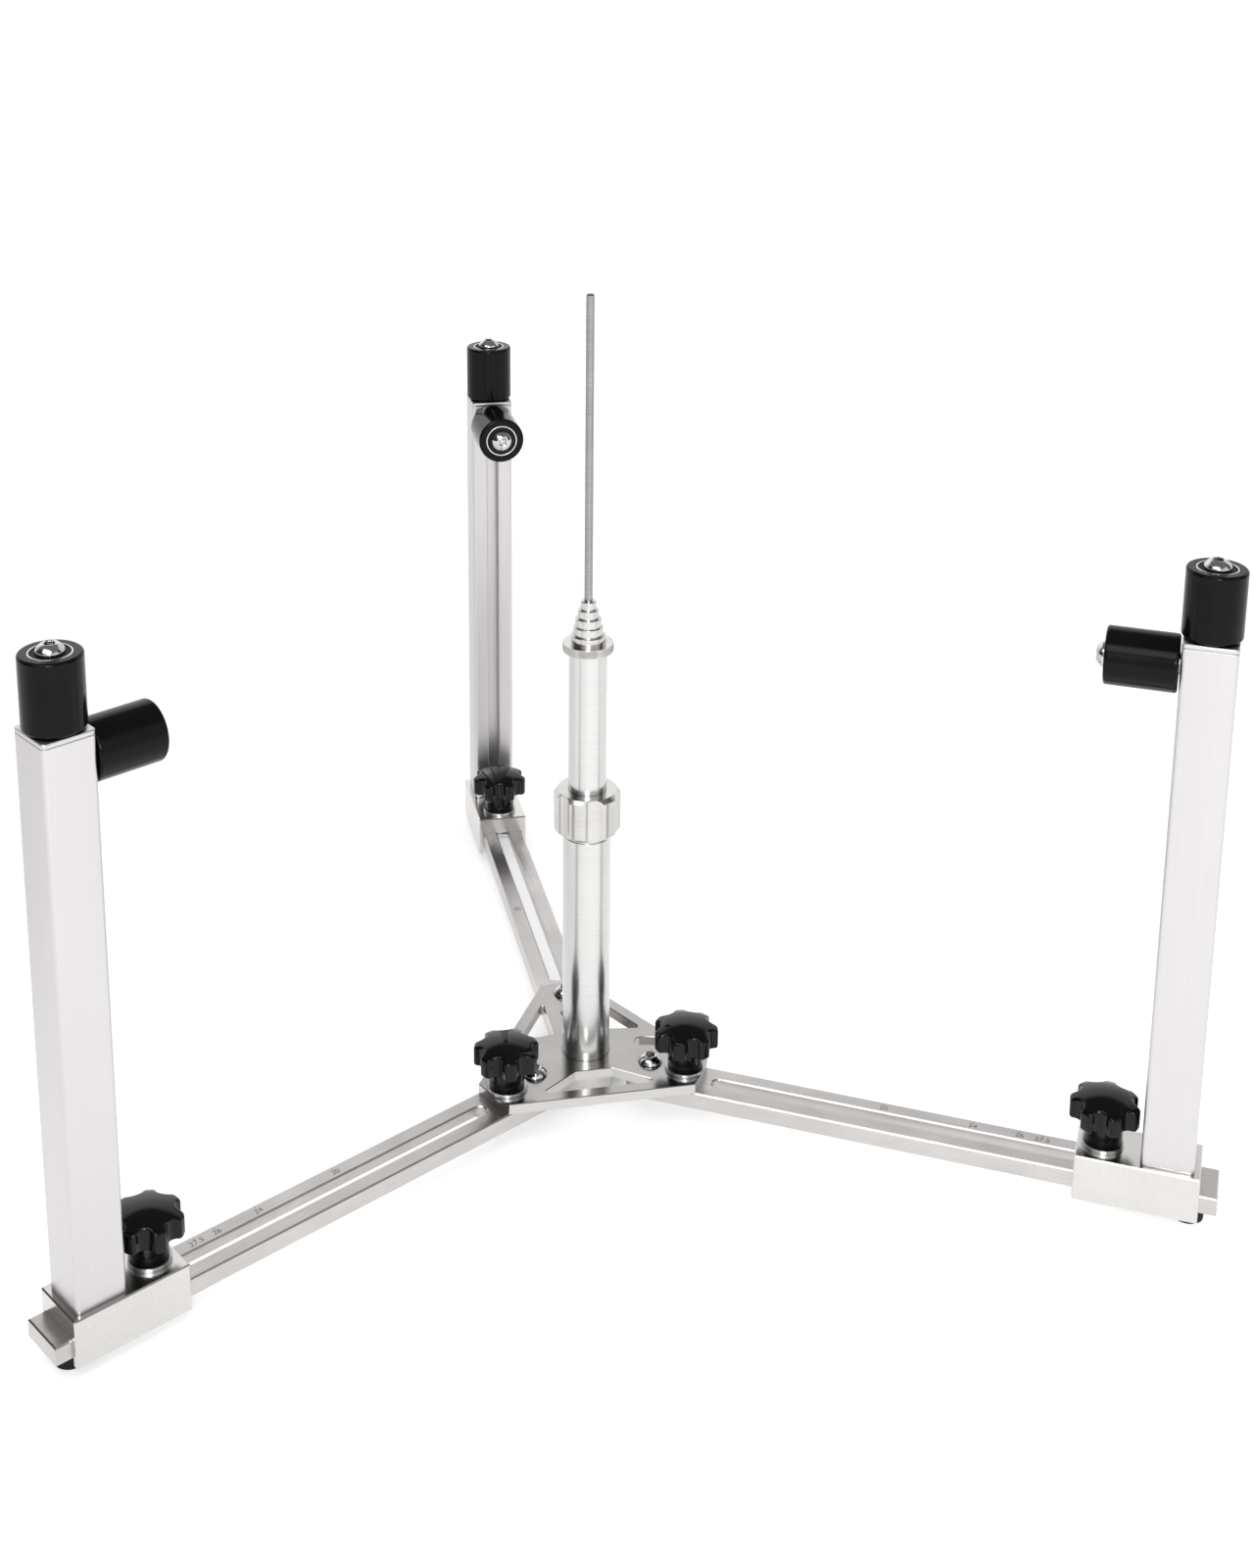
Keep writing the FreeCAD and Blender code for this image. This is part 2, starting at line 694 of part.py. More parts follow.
def make_plate_screws():
    """Two screws that hold the rear arm, and the two that the front arms turn on, with their nuts."""
    short = button_screw("rear_screw", s.rear_screw_length)
    pair = []
    for reach in (s.pivot_reach, clamp_reach):
        copy = group("rear_screw_copy", [short])
        pair.append(moved(copy, y=reach, z=plate_top))
    node("rear_arm_screws", group("rear_screws", pair))

    long_screw = button_screw("pivot_screw", s.pivot_screw_length)
    base = s.foot_height - s.pivot_nut_height
    blank = prism("pivot_nut_blank", HEXAGON, s.pivot_nut_radius, s.pivot_nut_height, z=base)
    nut = cut("pivot_nut", blank, [rod("pivot_nut_bore", s.bolt_radius, s.foot_height)])
    screws, nuts = [], []
    for station in FRONT_STATIONS:
        angle = math.radians(STATION_ANGLE[station])
        x, y = s.pivot_reach * math.cos(angle), s.pivot_reach * math.sin(angle)
        screws.append(moved(group(station + "_pivot_screw", [long_screw]), x, y, plate_top))
        nuts.append(moved(group(station + "_pivot_nut", [nut]), x, y))
    node("arm_pivot_screws", group("pivot_screws", screws))
    node("arm_pivot_nuts", group("pivot_nuts", nuts))


# --------------------------------------------------------------------------------------------
# Star knobs: domed head with seven lobes on a plain stem, and a stud with a flange at its foot
# --------------------------------------------------------------------------------------------
def ring_of_rods(name, count, radius, reach, base, height):
    """Cutters spaced evenly round the Z axis."""
    rods = []
    for i in range(count):
        angle = math.radians(FULL_TURN * i / count)
        rods.append(rod(name, radius, height, reach * math.cos(angle), reach * math.sin(angle), base))
    return rods


def make_star_knob():
    """Domed blank on a stem, trimmed to the star's outline."""
    head_base = s.knob_height - s.knob_head
    grip_top = s.ring_height + s.stud_grip
    beyond = s.knob_radius + THROUGH
    profile = [
        (ZERO, grip_top),
        (ZERO, s.knob_height),
        (s.knob_crown_flat, s.knob_height - s.knob_crown_rise),
        (beyond, s.knob_height - s.knob_crown),
        (beyond, head_base),
        (s.knob_stem_radius, head_base),
        (s.knob_stem_radius, s.ring_height),
        (s.stud_radius, s.ring_height),
        (s.stud_radius, grip_top),
    ]
    blank = turned("knob_blank", profile)
    count, reach = int(s.knob_lobes.number), s.knob_radius + s.valley_radius - s.valley_depth
    valleys = ring_of_rods("valley", count, s.valley_radius, reach, -s.knob_height, s.knob_height * 3)
    outline = rod("star_disc", s.knob_radius, s.knob_height + THROUGH)
    star = cut("star_plain", outline, valleys)
    star = softened("star_rounded", star, s.lobe_round, is_upright, "Part::Fillet")
    return common("star_knob", blank, star)


def stud(name, drop):
    """Threaded stud that hangs below the knob, with the flange that presses on the work."""
    radius, top = s.stud_radius, s.ring_height + s.stud_grip
    profile = [
        (ZERO, -drop),
        (radius, -drop),
        (radius, ZERO),
        (s.ring_radius, ZERO),
        (s.ring_radius, s.ring_height),
        (radius, s.ring_height),
        (radius, top),
        (ZERO, top),
    ]
    return turned(name, profile)


def make_knobs():
    knob = make_star_knob()
    short = stud("arm_stud", s.plate_thick + s.arm_thick - s.stud_short)
    for station in FRONT_STATIONS:
        name = station + "_arm_knob"
        at_station(name, knob, station, clamp_reach, plate_top)
        at_station(name + "_stud", short, station, clamp_reach, plate_top)
    long_stud = stud("carriage_stud", carriage_top - nut_base)
    for station in STATION_ANGLE:
        name = station + "_carriage_knob"
        at_station(name, knob, station, knob_reach, carriage_top)
        at_station(name + "_stud", long_stud, station, knob_reach, carriage_top)


# --------------------------------------------------------------------------------------------
# Carriages: block over the arm, square post, cap with the threaded block, two rollers
# --------------------------------------------------------------------------------------------
def squared(name, side, height, base):
    """Square block about the post's axis."""
    return box(name, side, side, height, s.post_reach - side / 2, -side / 2, base)


def make_carriage_block():
    half = s.carriage_width / 2
    channel = s.arm_width / 2 + s.running_gap
    length = s.carriage_outer + s.carriage_inner
    inner_end = s.post_reach - s.carriage_inner
    base = s.carriage_clear
    height = carriage_top - base
    block = box("carriage_box", length, s.carriage_width, height, inner_end, -half, base)
    at_top = lies_at(carriage_top)
    block = softened("carriage_edged", block, s.carriage_edge, lambda e: is_upright(e) or at_top(e))
    spigot = squared("carriage_spigot", post_bore, s.spigot_height, carriage_top)
    groove = box("carriage_channel", length, channel * 2, arm_top + s.running_gap, inner_end, -channel)
    hole = rod("carriage_hole", slot_half, carriage_top + THROUGH, knob_reach)
    return cut("carriage_block", joined("carriage_body", [block, spigot]), [groove, hole])


def make_post():
    outside = squared("post_outside", s.post_side, s.post_height, carriage_top)
    outside = softened("post_rounded", outside, s.post_corner, is_upright, "Part::Fillet")
    inside = squared("post_inside", post_bore, s.post_height, carriage_top)
    drill = rod("post_drill", slot_half, s.post_wall + THROUGH)
    hole = lying("post_hole", drill, inner_face + s.post_wall + THROUGH / 2, support_level)
    return cut("post_tube", outside, [inside, hole])


def make_post_cap():
    plate = squared("cap_plate", s.post_side, s.cap_thick, post_top)
    plate = softened("cap_rounded", plate, s.post_corner, is_upright, "Part::Fillet")
    plug = squared("cap_plug", post_bore, s.cap_plug_depth, post_top - s.cap_plug_depth)
    depth = s.bolt_length + s.bolt_runout - s.roller_length - s.roller_gap
    upright = rod("cap_bore", s.bolt_radius, depth + THROUGH, s.post_reach, z=cap_top - depth)
    side = rod("cap_side_bore", s.bolt_radius, depth + THROUGH)
    side = lying("cap_side", side, inner_face + depth, support_level)
    return cut("cap_block", joined("cap_body", [plate, plug]), [upright, side])


def make_slot_nut():
    """Plate nut in the arm's channel, which the carriage's clamping stud draws up."""
    length, width = s.nut_length, s.channel_width - s.stud_gap * 2
    corner = knob_reach - length / 2
    blank = box("nut_blank", length, width, s.nut_thick, corner, -width / 2, nut_base)
    return cut("nut_plate", blank, [rod("nut_bore", stud_bore, arm_top, knob_reach)])


def make_roller():
    """Rim roller about Z with a seat for a bearing at each end."""
    far_seat = s.roller_length - s.bearing_width
    shoulder = s.bearing_radius - s.race_wall
    profile = [
        (s.bearing_radius, ZERO),
        (s.roller_radius, ZERO),
        (s.roller_radius, s.roller_length),
        (s.bearing_radius, s.roller_length),
        (s.bearing_radius, far_seat),
        (shoulder, far_seat),
        (shoulder, s.bearing_width),
        (s.bearing_radius, s.bearing_width),
    ]
    rounds = [(s.roller_radius, ZERO, s.roller_round), (s.roller_radius, s.roller_length, s.roller_round)]
    return turned("roller", profile, rounds)


def bearing(name, base):
    """Outer race of a ball bearing with its two shields, which turn with the roller."""
    outer, race = s.bearing_radius, s.bearing_radius - s.race_wall
    shield = s.inner_race_radius + s.running_gap
    low = base + s.shield_recess
    high = base + s.bearing_width - s.shield_recess
    profile = [
        (race, base),
        (outer, base),
        (outer, base + s.bearing_width),
        (race, base + s.bearing_width),
        (race, high),
        (shield, high),
        (shield, high - s.shield_thick),
        (race, high - s.shield_thick),
        (race, low + s.shield_thick),
        (shield, low + s.shield_thick),
        (shield, low),
        (race, low),
    ]
    return turned(name, profile)


def make_rollers():
    """Two rollers on each carriage: one stands on the post, one lies beside it under the rim."""
    roller = make_roller()
    far_seat = s.roller_length - s.bearing_width
    bearings = group("bearing_pair", [bearing("near_bearing", ZERO), bearing("far_bearing", far_seat)])
    core, bore = s.inner_race_radius, s.bolt_radius
    stack = group(
        "inner_stack",
        [
            ring("shim", bore, core, -s.roller_gap, s.roller_gap),
            ring("near_race", bore, core, ZERO, s.bearing_width),
            ring("spacer", bore, core, s.bearing_width, far_seat - s.bearing_width),
            ring("far_race", bore, core, far_seat, s.bearing_width),
        ],
    )
    bolt = moved(group("roller_bolt", [button_screw("roller_screw", s.bolt_length)]), z=s.roller_length)

    def standing(name, piece):
        return moved(group("standing_" + name, [piece]), x=s.post_reach, z=cap_top + s.roller_gap)

    def resting(name, piece):
        return lying("resting_" + name, piece, inner_face - s.roller_gap, support_level)

    bolts = group("bolt_pair", [standing("bolt", bolt), resting("bolt", bolt)])
    stacks = group("stack_pair", [standing("stack", stack), resting("stack", stack)])
    side = {"roller": standing("roller", roller), "bearings": standing("bearings", bearings)}
    support = {"roller": resting("roller", roller), "bearings": resting("bearings", bearings)}
    for station in STATION_ANGLE:
        at_station(station + "_roller_bolts", bolts, station)
        at_station(station + "_roller_spacers", stacks, station)
        for kind, pieces in (("side", side), ("support", support)):
            for part, piece in pieces.items():
                at_station("%s_%s_%s" % (station, kind, part), piece, station)


def make_carriages():
    pieces = {
        "carriage": make_carriage_block(),
        "post": make_post(),
        "post_cap": make_post_cap(),
        "slot_nut": make_slot_nut(),
    }
    for station in STATION_ANGLE:
        for part, piece in pieces.items():
            at_station(station + "_" + part, piece, station)


make_hub_plate()
make_column()
make_clamp_collar()
make_hub_adapter()
make_arms()
make_plate_screws()
make_knobs()
make_carriages()
make_rollers()
doc.recompute()

# --------------------------------------------------------------------------------------------
# Check every object, then write one file for each sub-part
# --------------------------------------------------------------------------------------------
for thing in doc.Objects:
    if "Invalid" in thing.State or "Error" in thing.State:
        raise RuntimeError("%s (%s) did not build: %s" % (thing.Name, thing.Label, thing.State))
for thing in NODES:
    if thing.Shape.isNull() or not thing.Shape.isValid():
        raise RuntimeError("%s has no valid shape" % thing.Label)

os.makedirs("parts", exist_ok=True)
for thing in NODES:
    thing.Shape.exportStep(os.path.join("parts", thing.Label + ".step"))
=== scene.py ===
"""Looks of the bicycle wheel truing stand.

Every shape that fits or moves comes from the frame.  This script gives the frame's metal bars,
tubes and rollers their finish, and models what the frame keeps plain: the star knobs, the posts'
grooves and caps, the faces of the roller bearings, the button-head screws, the knurl on the hub
adapter and the size marks on the arms.
Units are metres, in the frame's own axes: +Z up, the rear arm along +Y.
"""
import math

import bmesh
import bpy
from mathutils import Matrix, Vector


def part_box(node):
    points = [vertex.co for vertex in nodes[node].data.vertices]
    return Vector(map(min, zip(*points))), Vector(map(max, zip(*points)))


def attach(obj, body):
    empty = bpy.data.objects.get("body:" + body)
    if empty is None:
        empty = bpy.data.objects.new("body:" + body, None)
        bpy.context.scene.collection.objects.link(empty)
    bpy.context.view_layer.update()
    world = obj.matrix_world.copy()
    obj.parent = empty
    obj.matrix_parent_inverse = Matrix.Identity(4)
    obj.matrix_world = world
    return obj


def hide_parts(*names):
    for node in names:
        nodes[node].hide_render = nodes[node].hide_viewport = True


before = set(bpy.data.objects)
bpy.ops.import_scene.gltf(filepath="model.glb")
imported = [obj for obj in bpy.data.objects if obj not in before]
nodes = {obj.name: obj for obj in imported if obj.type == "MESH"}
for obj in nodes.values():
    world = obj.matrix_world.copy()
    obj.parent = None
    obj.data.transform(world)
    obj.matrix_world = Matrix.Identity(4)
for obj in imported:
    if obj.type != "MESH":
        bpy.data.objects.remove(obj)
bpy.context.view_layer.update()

MM = 0.001
FULL_TURN = 2 * math.pi
QUARTER_TURN = math.pi / 2
STATION_ANGLE = {"rear": math.radians(90), "left": math.radians(210), "right": math.radians(-30)}
FRONT_STATIONS = ("left", "right")


# --------------------------------------------------------------------------------------------
# Small tools
# --------------------------------------------------------------------------------------------
def linear(hex_colour):
    """Linear RGBA of an sRGB hex colour."""
    channels = [int(hex_colour[i:i + 2], 16) / 255 for i in (1, 3, 5)]
    return [c / 12.92 if c <= 0.04045 else ((c + 0.055) / 1.055) ** 2.4 for c in channels] + [1.0]


def add(tree, kind, settings=None, links=None):
    """A node with its settings and input links.

    A setting goes to the socket of that name or index, or else to the attribute of that name."""
    node = tree.nodes.new(kind)
    for key, value in (settings or {}).items():
        if isinstance(key, int) or key in node.inputs:
            node.inputs[key].default_value = value
        else:
            setattr(node, key, value)
    for key, socket in (links or {}).items():
        tree.links.new(socket, node.inputs[key])
    return node


def maths(tree, operation, first, second=0.0):
    """Result of a calculation on two values, each a number or another node's output."""
    node = add(tree, "ShaderNodeMath", {"operation": operation})
    for slot, value in enumerate((first, second)):
        if isinstance(value, (int, float)):
            node.inputs[slot].default_value = value
        else:
            tree.links.new(value, node.inputs[slot])
    return node.outputs[0]


def middle(node):
    """Centre of a frame node's box."""
    low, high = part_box(node)
    return (low + high) / 2


def new_object(name, data):
    """Object in the scene for a mesh, a curve, a light or a camera."""
    item = bpy.data.objects.new(name, data)
    bpy.context.scene.collection.objects.link(item)
    return item


def mesh_of(shape, name):
    """Mesh of a finished bmesh, which is freed."""
    mesh = bpy.data.meshes.new(name)
    shape.to_mesh(mesh)
    shape.free()
    return mesh


def settled_mesh(carrier):
    """Plain mesh of an object with its modifiers or its curve worked out; the object goes."""
    bpy.context.view_layer.update()
    settled = carrier.evaluated_get(bpy.context.evaluated_depsgraph_get())
    mesh = bpy.data.meshes.new_from_object(settled)
    bpy.data.objects.remove(carrier)
    return mesh


def finish_piece(mesh, name, body, materials, smooth_degrees=35):
    """Object at the origin for a finished mesh, riding on a body."""
    piece = new_object(name, mesh)
    for material in materials:
        mesh.materials.append(material)
    mesh.shade_smooth()
    mesh.set_sharp_from_angle(angle=math.radians(smooth_degrees))
    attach(piece, body)
    return piece


# --------------------------------------------------------------------------------------------
# Materials
# --------------------------------------------------------------------------------------------
EDGE_BREAK = 0.35 * MM
GRAIN_DEPTH = 0.1 * MM
# How much of a metal's tint and gloss follows its fine grain, the rest following the clouds
GRAIN_SHARE = 0.6
# Cloudy wear in a plastic's gloss, per metre
WEAR_SCALE = 55
# Painted shade in corners and recesses: its colour deep in a corner, the least share of the open
# colour left there, and the span of open sky over which it comes back
PAINTED_SHADE_COLOUR = "#161617"
PAINTED_SHADE_LEAST = 0.06
PAINTED_SHADE_SPAN = (0.15, 0.75)
# How steeply a face's normal rises, from a side with the full painted highlight to a flat face
PAINTED_SIDE_SPAN = (0.3, 0.8)


def new_material(name):
    """Material with a Principled shader on its output: the tree and the shader."""
    material = bpy.data.materials.new(name)
    material.use_nodes = True
    tree = material.node_tree
    tree.nodes.clear()
    shader = add(tree, "ShaderNodeBsdfPrincipled")
    add(tree, "ShaderNodeOutputMaterial", links={"Surface": shader.outputs[0]})
    return material, tree, shader


def placed_coordinates(tree, scale, angle=0.0):
    """Object coordinates turned about Z so that +X runs along an arm, then scaled."""
    where = add(tree, "ShaderNodeTexCoord")
    turned = add(
        tree,
        "ShaderNodeMapping",
        {"vector_type": "TEXTURE", "Rotation": (0, 0, angle)},
        {"Vector": where.outputs["Object"]},
    )
    return add(tree, "ShaderNodeMapping", {"Scale": scale}, {"Vector": turned.outputs[0]})


def noise(tree, scale, detail, angle=0.0):
    """Noise with its own scale per metre along each axis, as a value around a half."""
    place = placed_coordinates(tree, scale, angle)
    settings = {"Scale": 1.0, "Detail": detail}
    return add(tree, "ShaderNodeTexNoise", settings, {"Vector": place.outputs[0]}).outputs[0]


def mixed(tree, share, first, second):
    """Colour between two, each a hex colour or another node's output."""
    node = add(tree, "ShaderNodeMix", {"data_type": "RGBA"}, {0: share})
    for slot, colour in ((6, first), (7, second)):
        if isinstance(colour, str):
            node.inputs[slot].default_value = linear(colour)
        else:
            tree.links.new(colour, node.inputs[slot])
    return node.outputs[2]


def grain_bump(tree, relief, height):
    """Bump of a fine grain."""
    settings = {"Strength": relief, "Distance": GRAIN_DEPTH}
    return add(tree, "ShaderNodeBump", settings, {"Height": height})


def ramp(tree, factor, low, high, from_low=0.3, from_high=0.7):
    """Number that runs from low to high as the factor rises through a range."""
    mapped = add(
        tree,
        "ShaderNodeMapRange",
        {"From Min": from_low, "From Max": from_high, "To Min": low, "To Max": high},
        {"Value": factor},
    )
    return mapped.outputs[0]


def metal(
    name,
    colour,
    dark,
    grain,
    angle=0.0,
    roughness=(0.25, 0.4),
    relief=0.02,
    cloud=40.0,
    edge=EDGE_BREAK,
    painted_shade_reach=0.0,
    painted_side_light=None,
):
    """Bare metal whose fine grain has its own scale per metre along each axis.

    The edge is how far its sharp edges are broken. An optional reach is how near a wall must be for
    painted shade to darken a corner, and an optional colour paints its upright faces lighter than
    its flat ones, a painted highlight."""
    material, tree, shader = new_material(name)
    fine = noise(tree, grain, 3.0, angle)
    broad = noise(tree, (cloud, cloud, cloud), 4.0, angle)
    blend = add(
        tree,
        "ShaderNodeMath",
        {"operation": "MULTIPLY_ADD", 1: GRAIN_SHARE},
        {0: fine, 2: maths(tree, "MULTIPLY", broad, 1 - GRAIN_SHARE)},
    ).outputs[0]
    tint = mixed(tree, ramp(tree, blend, 0.0, 1.0), dark, colour)
    bump = grain_bump(tree, relief, fine)
    if edge:
        broken = add(tree, "ShaderNodeBevel", {"samples": 4, "Radius": edge})
        tree.links.new(broken.outputs[0], bump.inputs["Normal"])
    # Painted highlight: upright faces take a lighter colour than flat ones, for the light they catch
    if painted_side_light:
        normal = add(tree, "ShaderNodeTexCoord").outputs["Normal"]
        rise = add(tree, "ShaderNodeSeparateXYZ", links={0: normal}).outputs[2]
        upright = ramp(tree, maths(tree, "ABSOLUTE", rise), 1.0, 0.0, *PAINTED_SIDE_SPAN)
        tint = mixed(tree, upright, tint, painted_side_light)
    # Painted shade: occlusion darkens corners, recesses and sockets towards a near-black colour
    if painted_shade_reach:
        nook = add(tree, "ShaderNodeAmbientOcclusion", {"Distance": painted_shade_reach, "samples": 8})
        unshaded_share = ramp(tree, nook.outputs["AO"], PAINTED_SHADE_LEAST, 1.0, *PAINTED_SHADE_SPAN)
        tint = mixed(tree, unshaded_share, PAINTED_SHADE_COLOUR, tint)
    shader.inputs["Metallic"].default_value = 1.0
    tree.links.new(tint, shader.inputs["Base Color"])
    tree.links.new(ramp(tree, blend, roughness[1], roughness[0]), shader.inputs["Roughness"])
    tree.links.new(bump.outputs[0], shader.inputs["Normal"])
    return material


def bar_aluminium(station):
    """Extruded flat bar, brushed along its length: fine streaks and a soft cloudy sheen."""
    return metal(
        "brushed_bar_aluminium_" + station,
        "#C8C5C4",
        "#B5B2B0",
        (30, 1500, 1500),
        STATION_ANGLE[station],
        roughness=(0.26, 0.33),
        relief=0.02,
        edge=0,
    )


def block_aluminium(station):
    """Milled and tumbled block: satin, nearly without direction."""
    return metal(
        "milled_block_aluminium_" + station,
        "#D0CECB",
        "#C8C6C3",
        (500, 900, 900),
        STATION_ANGLE[station],
        roughness=(0.18, 0.23),
        relief=0.01,
        edge=0,
    )


# Square tube, extruded and clear anodised: drawn lines run up the post, with painted shade in corners
post_aluminium = metal(
    "anodised_post_aluminium",
    "#CCC9CB",
    "#C8C6C7",
    (900, 900, 8),
    roughness=(0.34, 0.38),
    relief=0.01,
    cloud=15,
    edge=1.2 * MM,
    painted_shade_reach=3 * MM,
)
# Milled plate, vibro-finished: grey faces with a very fine even speckle; its upright sides are
# painted lighter, a painted highlight, and painted shade darkens its corners
plate_aluminium = metal(
    "tumbled_plate_aluminium",
    "#AFADAB",
    "#A19F9D",
    (2200, 2200, 2200),
    roughness=(0.17, 0.22),
    relief=0.02,
    edge=0,
    painted_shade_reach=2.5 * MM,
    painted_side_light="#C4C2C0",
)
# Drawn tube, polished round: bright, with faint rings from the polishing belt and painted shade at joints
column_aluminium = metal(
    "belt_polished_tube",
    "#D0D0CF",
    "#C8C8C7",
    (30, 30, 1200),
    roughness=(0.22, 0.26),
    relief=0,
    cloud=25,
    edge=0,
    painted_shade_reach=2.5 * MM,
)
# Lathe-turned fittings: tight rings round the axis
turned_aluminium = metal(
    "turned_aluminium", "#CBCAC8", "#C1BFBD", (40, 40, 1500), roughness=(0.17, 0.22), relief=0.01, cloud=60
)
# Stainless button heads: nearly a mirror, with a trace of polishing haze and painted shade in the sockets
polished_steel = metal(
    "polished_stainless",
    "#CBCCCD",
    "#BFC0C1",
    (900, 900, 900),
    roughness=(0.06, 0.1),
    relief=0,
    cloud=120,
    painted_shade_reach=3 * MM,
)
# Turned stainless flanges at the foot of the knobs: satin, with painted shade close to the knobs
flange_steel = metal(
    "turned_flange_steel",
    "#CBCBCC",
    "#BEBEBF",
    (900, 900, 900),
    roughness=(0.3, 0.36),
    relief=0.01,
    cloud=120,
    painted_shade_reach=1.5 * MM,
)
# Drawn guide rod: dull grey steel
rod_steel = metal(
    "drawn_rod_steel",
    "#A0A0A2",
    "#8A8A8D",
    (60, 60, 900),
    roughness=(0.2, 0.28),
    relief=0.01,
    cloud=60,
    edge=0,
)
# Ground bearing steel: bright, a touch darker than stainless
ground_steel = metal(
    "ground_bearing_steel", "#CFD0D2", "#B9BABC", (1200, 1200, 1200), roughness=(0.14, 0.22), relief=0.02
)


def plastic(name, colour, light, roughness, grain, relief, specular=0.5):
    """Moulded plastic or rubber with a fine skin texture and slight wear in its gloss."""
    material, tree, shader = new_material(name)
    fine = noise(tree, (grain, grain, grain), 2.0)
    broad = noise(tree, (WEAR_SCALE, WEAR_SCALE, WEAR_SCALE), 4.0)
    tint = mixed(tree, ramp(tree, broad, 0.0, 1.0), colour, light)
    bump = grain_bump(tree, relief, fine)
    shader.inputs["Specular IOR Level"].default_value = specular
    tree.links.new(tint, shader.inputs["Base Color"])
    tree.links.new(ramp(tree, broad, roughness[0], roughness[1]), shader.inputs["Roughness"])
    tree.links.new(bump.outputs[0], shader.inputs["Normal"])
    return material


# Moulded phenolic knob: deep black, glossy, with the slightest orange peel
knob_plastic = plastic("phenolic_knob", "#040404", "#070708", (0.06, 0.11), 700, 0.02, specular=0.24)
# Turned acetal roller: black, satin
roller_plastic = plastic("acetal_roller", "#060606", "#0A0A0B", (0.13, 0.19), 2500, 0.03, specular=0.13)
# Rubber bearing seal and rubber foot: black, dull
seal_rubber = plastic("seal_rubber", "#080809", "#0F0F10", (0.5, 0.62), 1800, 0.08, specular=0.2)
foot_rubber = plastic("foot_rubber", "#0C0C0D", "#161617", (0.6, 0.75), 1400, 0.15, specular=0.2)
# Laser-marked scale: dull grey-brown oxide
mark_oxide = plastic("laser_mark", "#4E4B48", "#5C5955", (0.6, 0.7), 3000, 0.02)


def dress_frame():
    """Gives every frame node its finish."""
    finishes = {
        "hub_plate": plate_aluminium,
        "centre_boss": turned_aluminium,
        "centre_pad": foot_rubber,
        "column_tube": column_aluminium,
        "upper_tube": column_aluminium,
        "clamp_collet": turned_aluminium,
        "clamp_collar": turned_aluminium,
        "hub_adapter": turned_aluminium,
        "guide_rod": rod_steel,
        "column_bolt": polished_steel,
        "rear_arm_screws": polished_steel,
        "arm_pivot_screws": polished_steel,
        "arm_pivot_nuts": ground_steel,
    }
    for station in STATION_ANGLE:
        bar, block = bar_aluminium(station), block_aluminium(station)
        finishes[station + "_arm"] = bar
        finishes[station + "_foot"] = foot_rubber
        finishes[station + "_carriage"] = block
        finishes[station + "_post"] = post_aluminium
        finishes[station + "_post_cap"] = post_aluminium
        finishes[station + "_slot_nut"] = ground_steel
        finishes[station + "_roller_bolts"] = polished_steel
        finishes[station + "_roller_spacers"] = ground_steel
        knobs = ["carriage_knob"] + (["arm_knob"] if station in FRONT_STATIONS else [])
        for knob in knobs:
            finishes["%s_%s" % (station, knob)] = knob_plastic
            finishes["%s_%s_stud" % (station, knob)] = flange_steel
        for kind in ("side", "support"):
            finishes["%s_%s_roller" % (station, kind)] = roller_plastic
            finishes["%s_%s_bearings" % (station, kind)] = ground_steel
    for name, material in finishes.items():
        mesh = nodes[name].data
        mesh.materials.clear()
        mesh.materials.append(material)
    missing = sorted(set(nodes) - set(finishes))
    if missing:
        raise ValueError("no finish for %s" % missing)


dress_frame()


# --------------------------------------------------------------------------------------------
# Rings of points: spun round an axis, or stacked into a closed skin
# --------------------------------------------------------------------------------------------
def lathe(name, profile, segments, places, rule=None, slots=None):
    """Mesh of a profile of (radius, level) points spun about Z, one copy for each place matrix.

    The rule gives a radius from (radius, level, angle); slots give each profile run's material.
    A radius of nought closes the profile in a point."""
    shape = bmesh.new()
    for place in places:
        rings = []
        for radius, level in profile:
            if radius == 0:
                rings.append([shape.verts.new(place @ Vector((0, 0, level)))] * segments)
                continue
            ring = []
            for i in range(segments):
                angle = FULL_TURN * i / segments
                reach = rule(radius, level, angle) if rule else radius
                point = Vector((reach * math.cos(angle), reach * math.sin(angle), level))
                ring.append(shape.verts.new(place @ point))
            rings.append(ring)
        for run in range(len(rings) - 1):
            near, far = rings[run], rings[run + 1]
            for i in range(segments):
                after = (i + 1) % segments
                corners = [near[i], near[after], far[after], far[i]]
                face = shape.faces.new([v for n, v in enumerate(corners) if v not in corners[:n]])
                face.material_index = slots[run] if slots else 0
    bmesh.ops.remove_doubles(shape, verts=shape.verts, dist=1e-7)
    bmesh.ops.recalc_face_normals(shape, faces=shape.faces)
    return mesh_of(shape, name)


def skin(name, rings, place):
    """Closed mesh over rings of (x, y, z) points, each ring with the same number of them."""
    shape = bmesh.new()
    rows = [[shape.verts.new(place @ Vector(point)) for point in ring] for ring in rings]
    count = len(rows[0])
    for near, far in zip(rows, rows[1:]):
        for i in range(count):
            after = (i + 1) % count
            shape.faces.new([near[i], near[after], far[after], far[i]])
    shape.faces.new(rows[0])
    shape.faces.new(rows[-1])
    bmesh.ops.recalc_face_normals(shape, faces=shape.faces)
    return mesh_of(shape, name)


def arc(centre, radius, start, end, steps):
    """Points along an arc, its last point left to the next arc."""
    angles = [start + (end - start) * i / steps for i in range(steps)]
    return [centre + radius * Vector((math.cos(a), math.sin(a))) for a in angles]


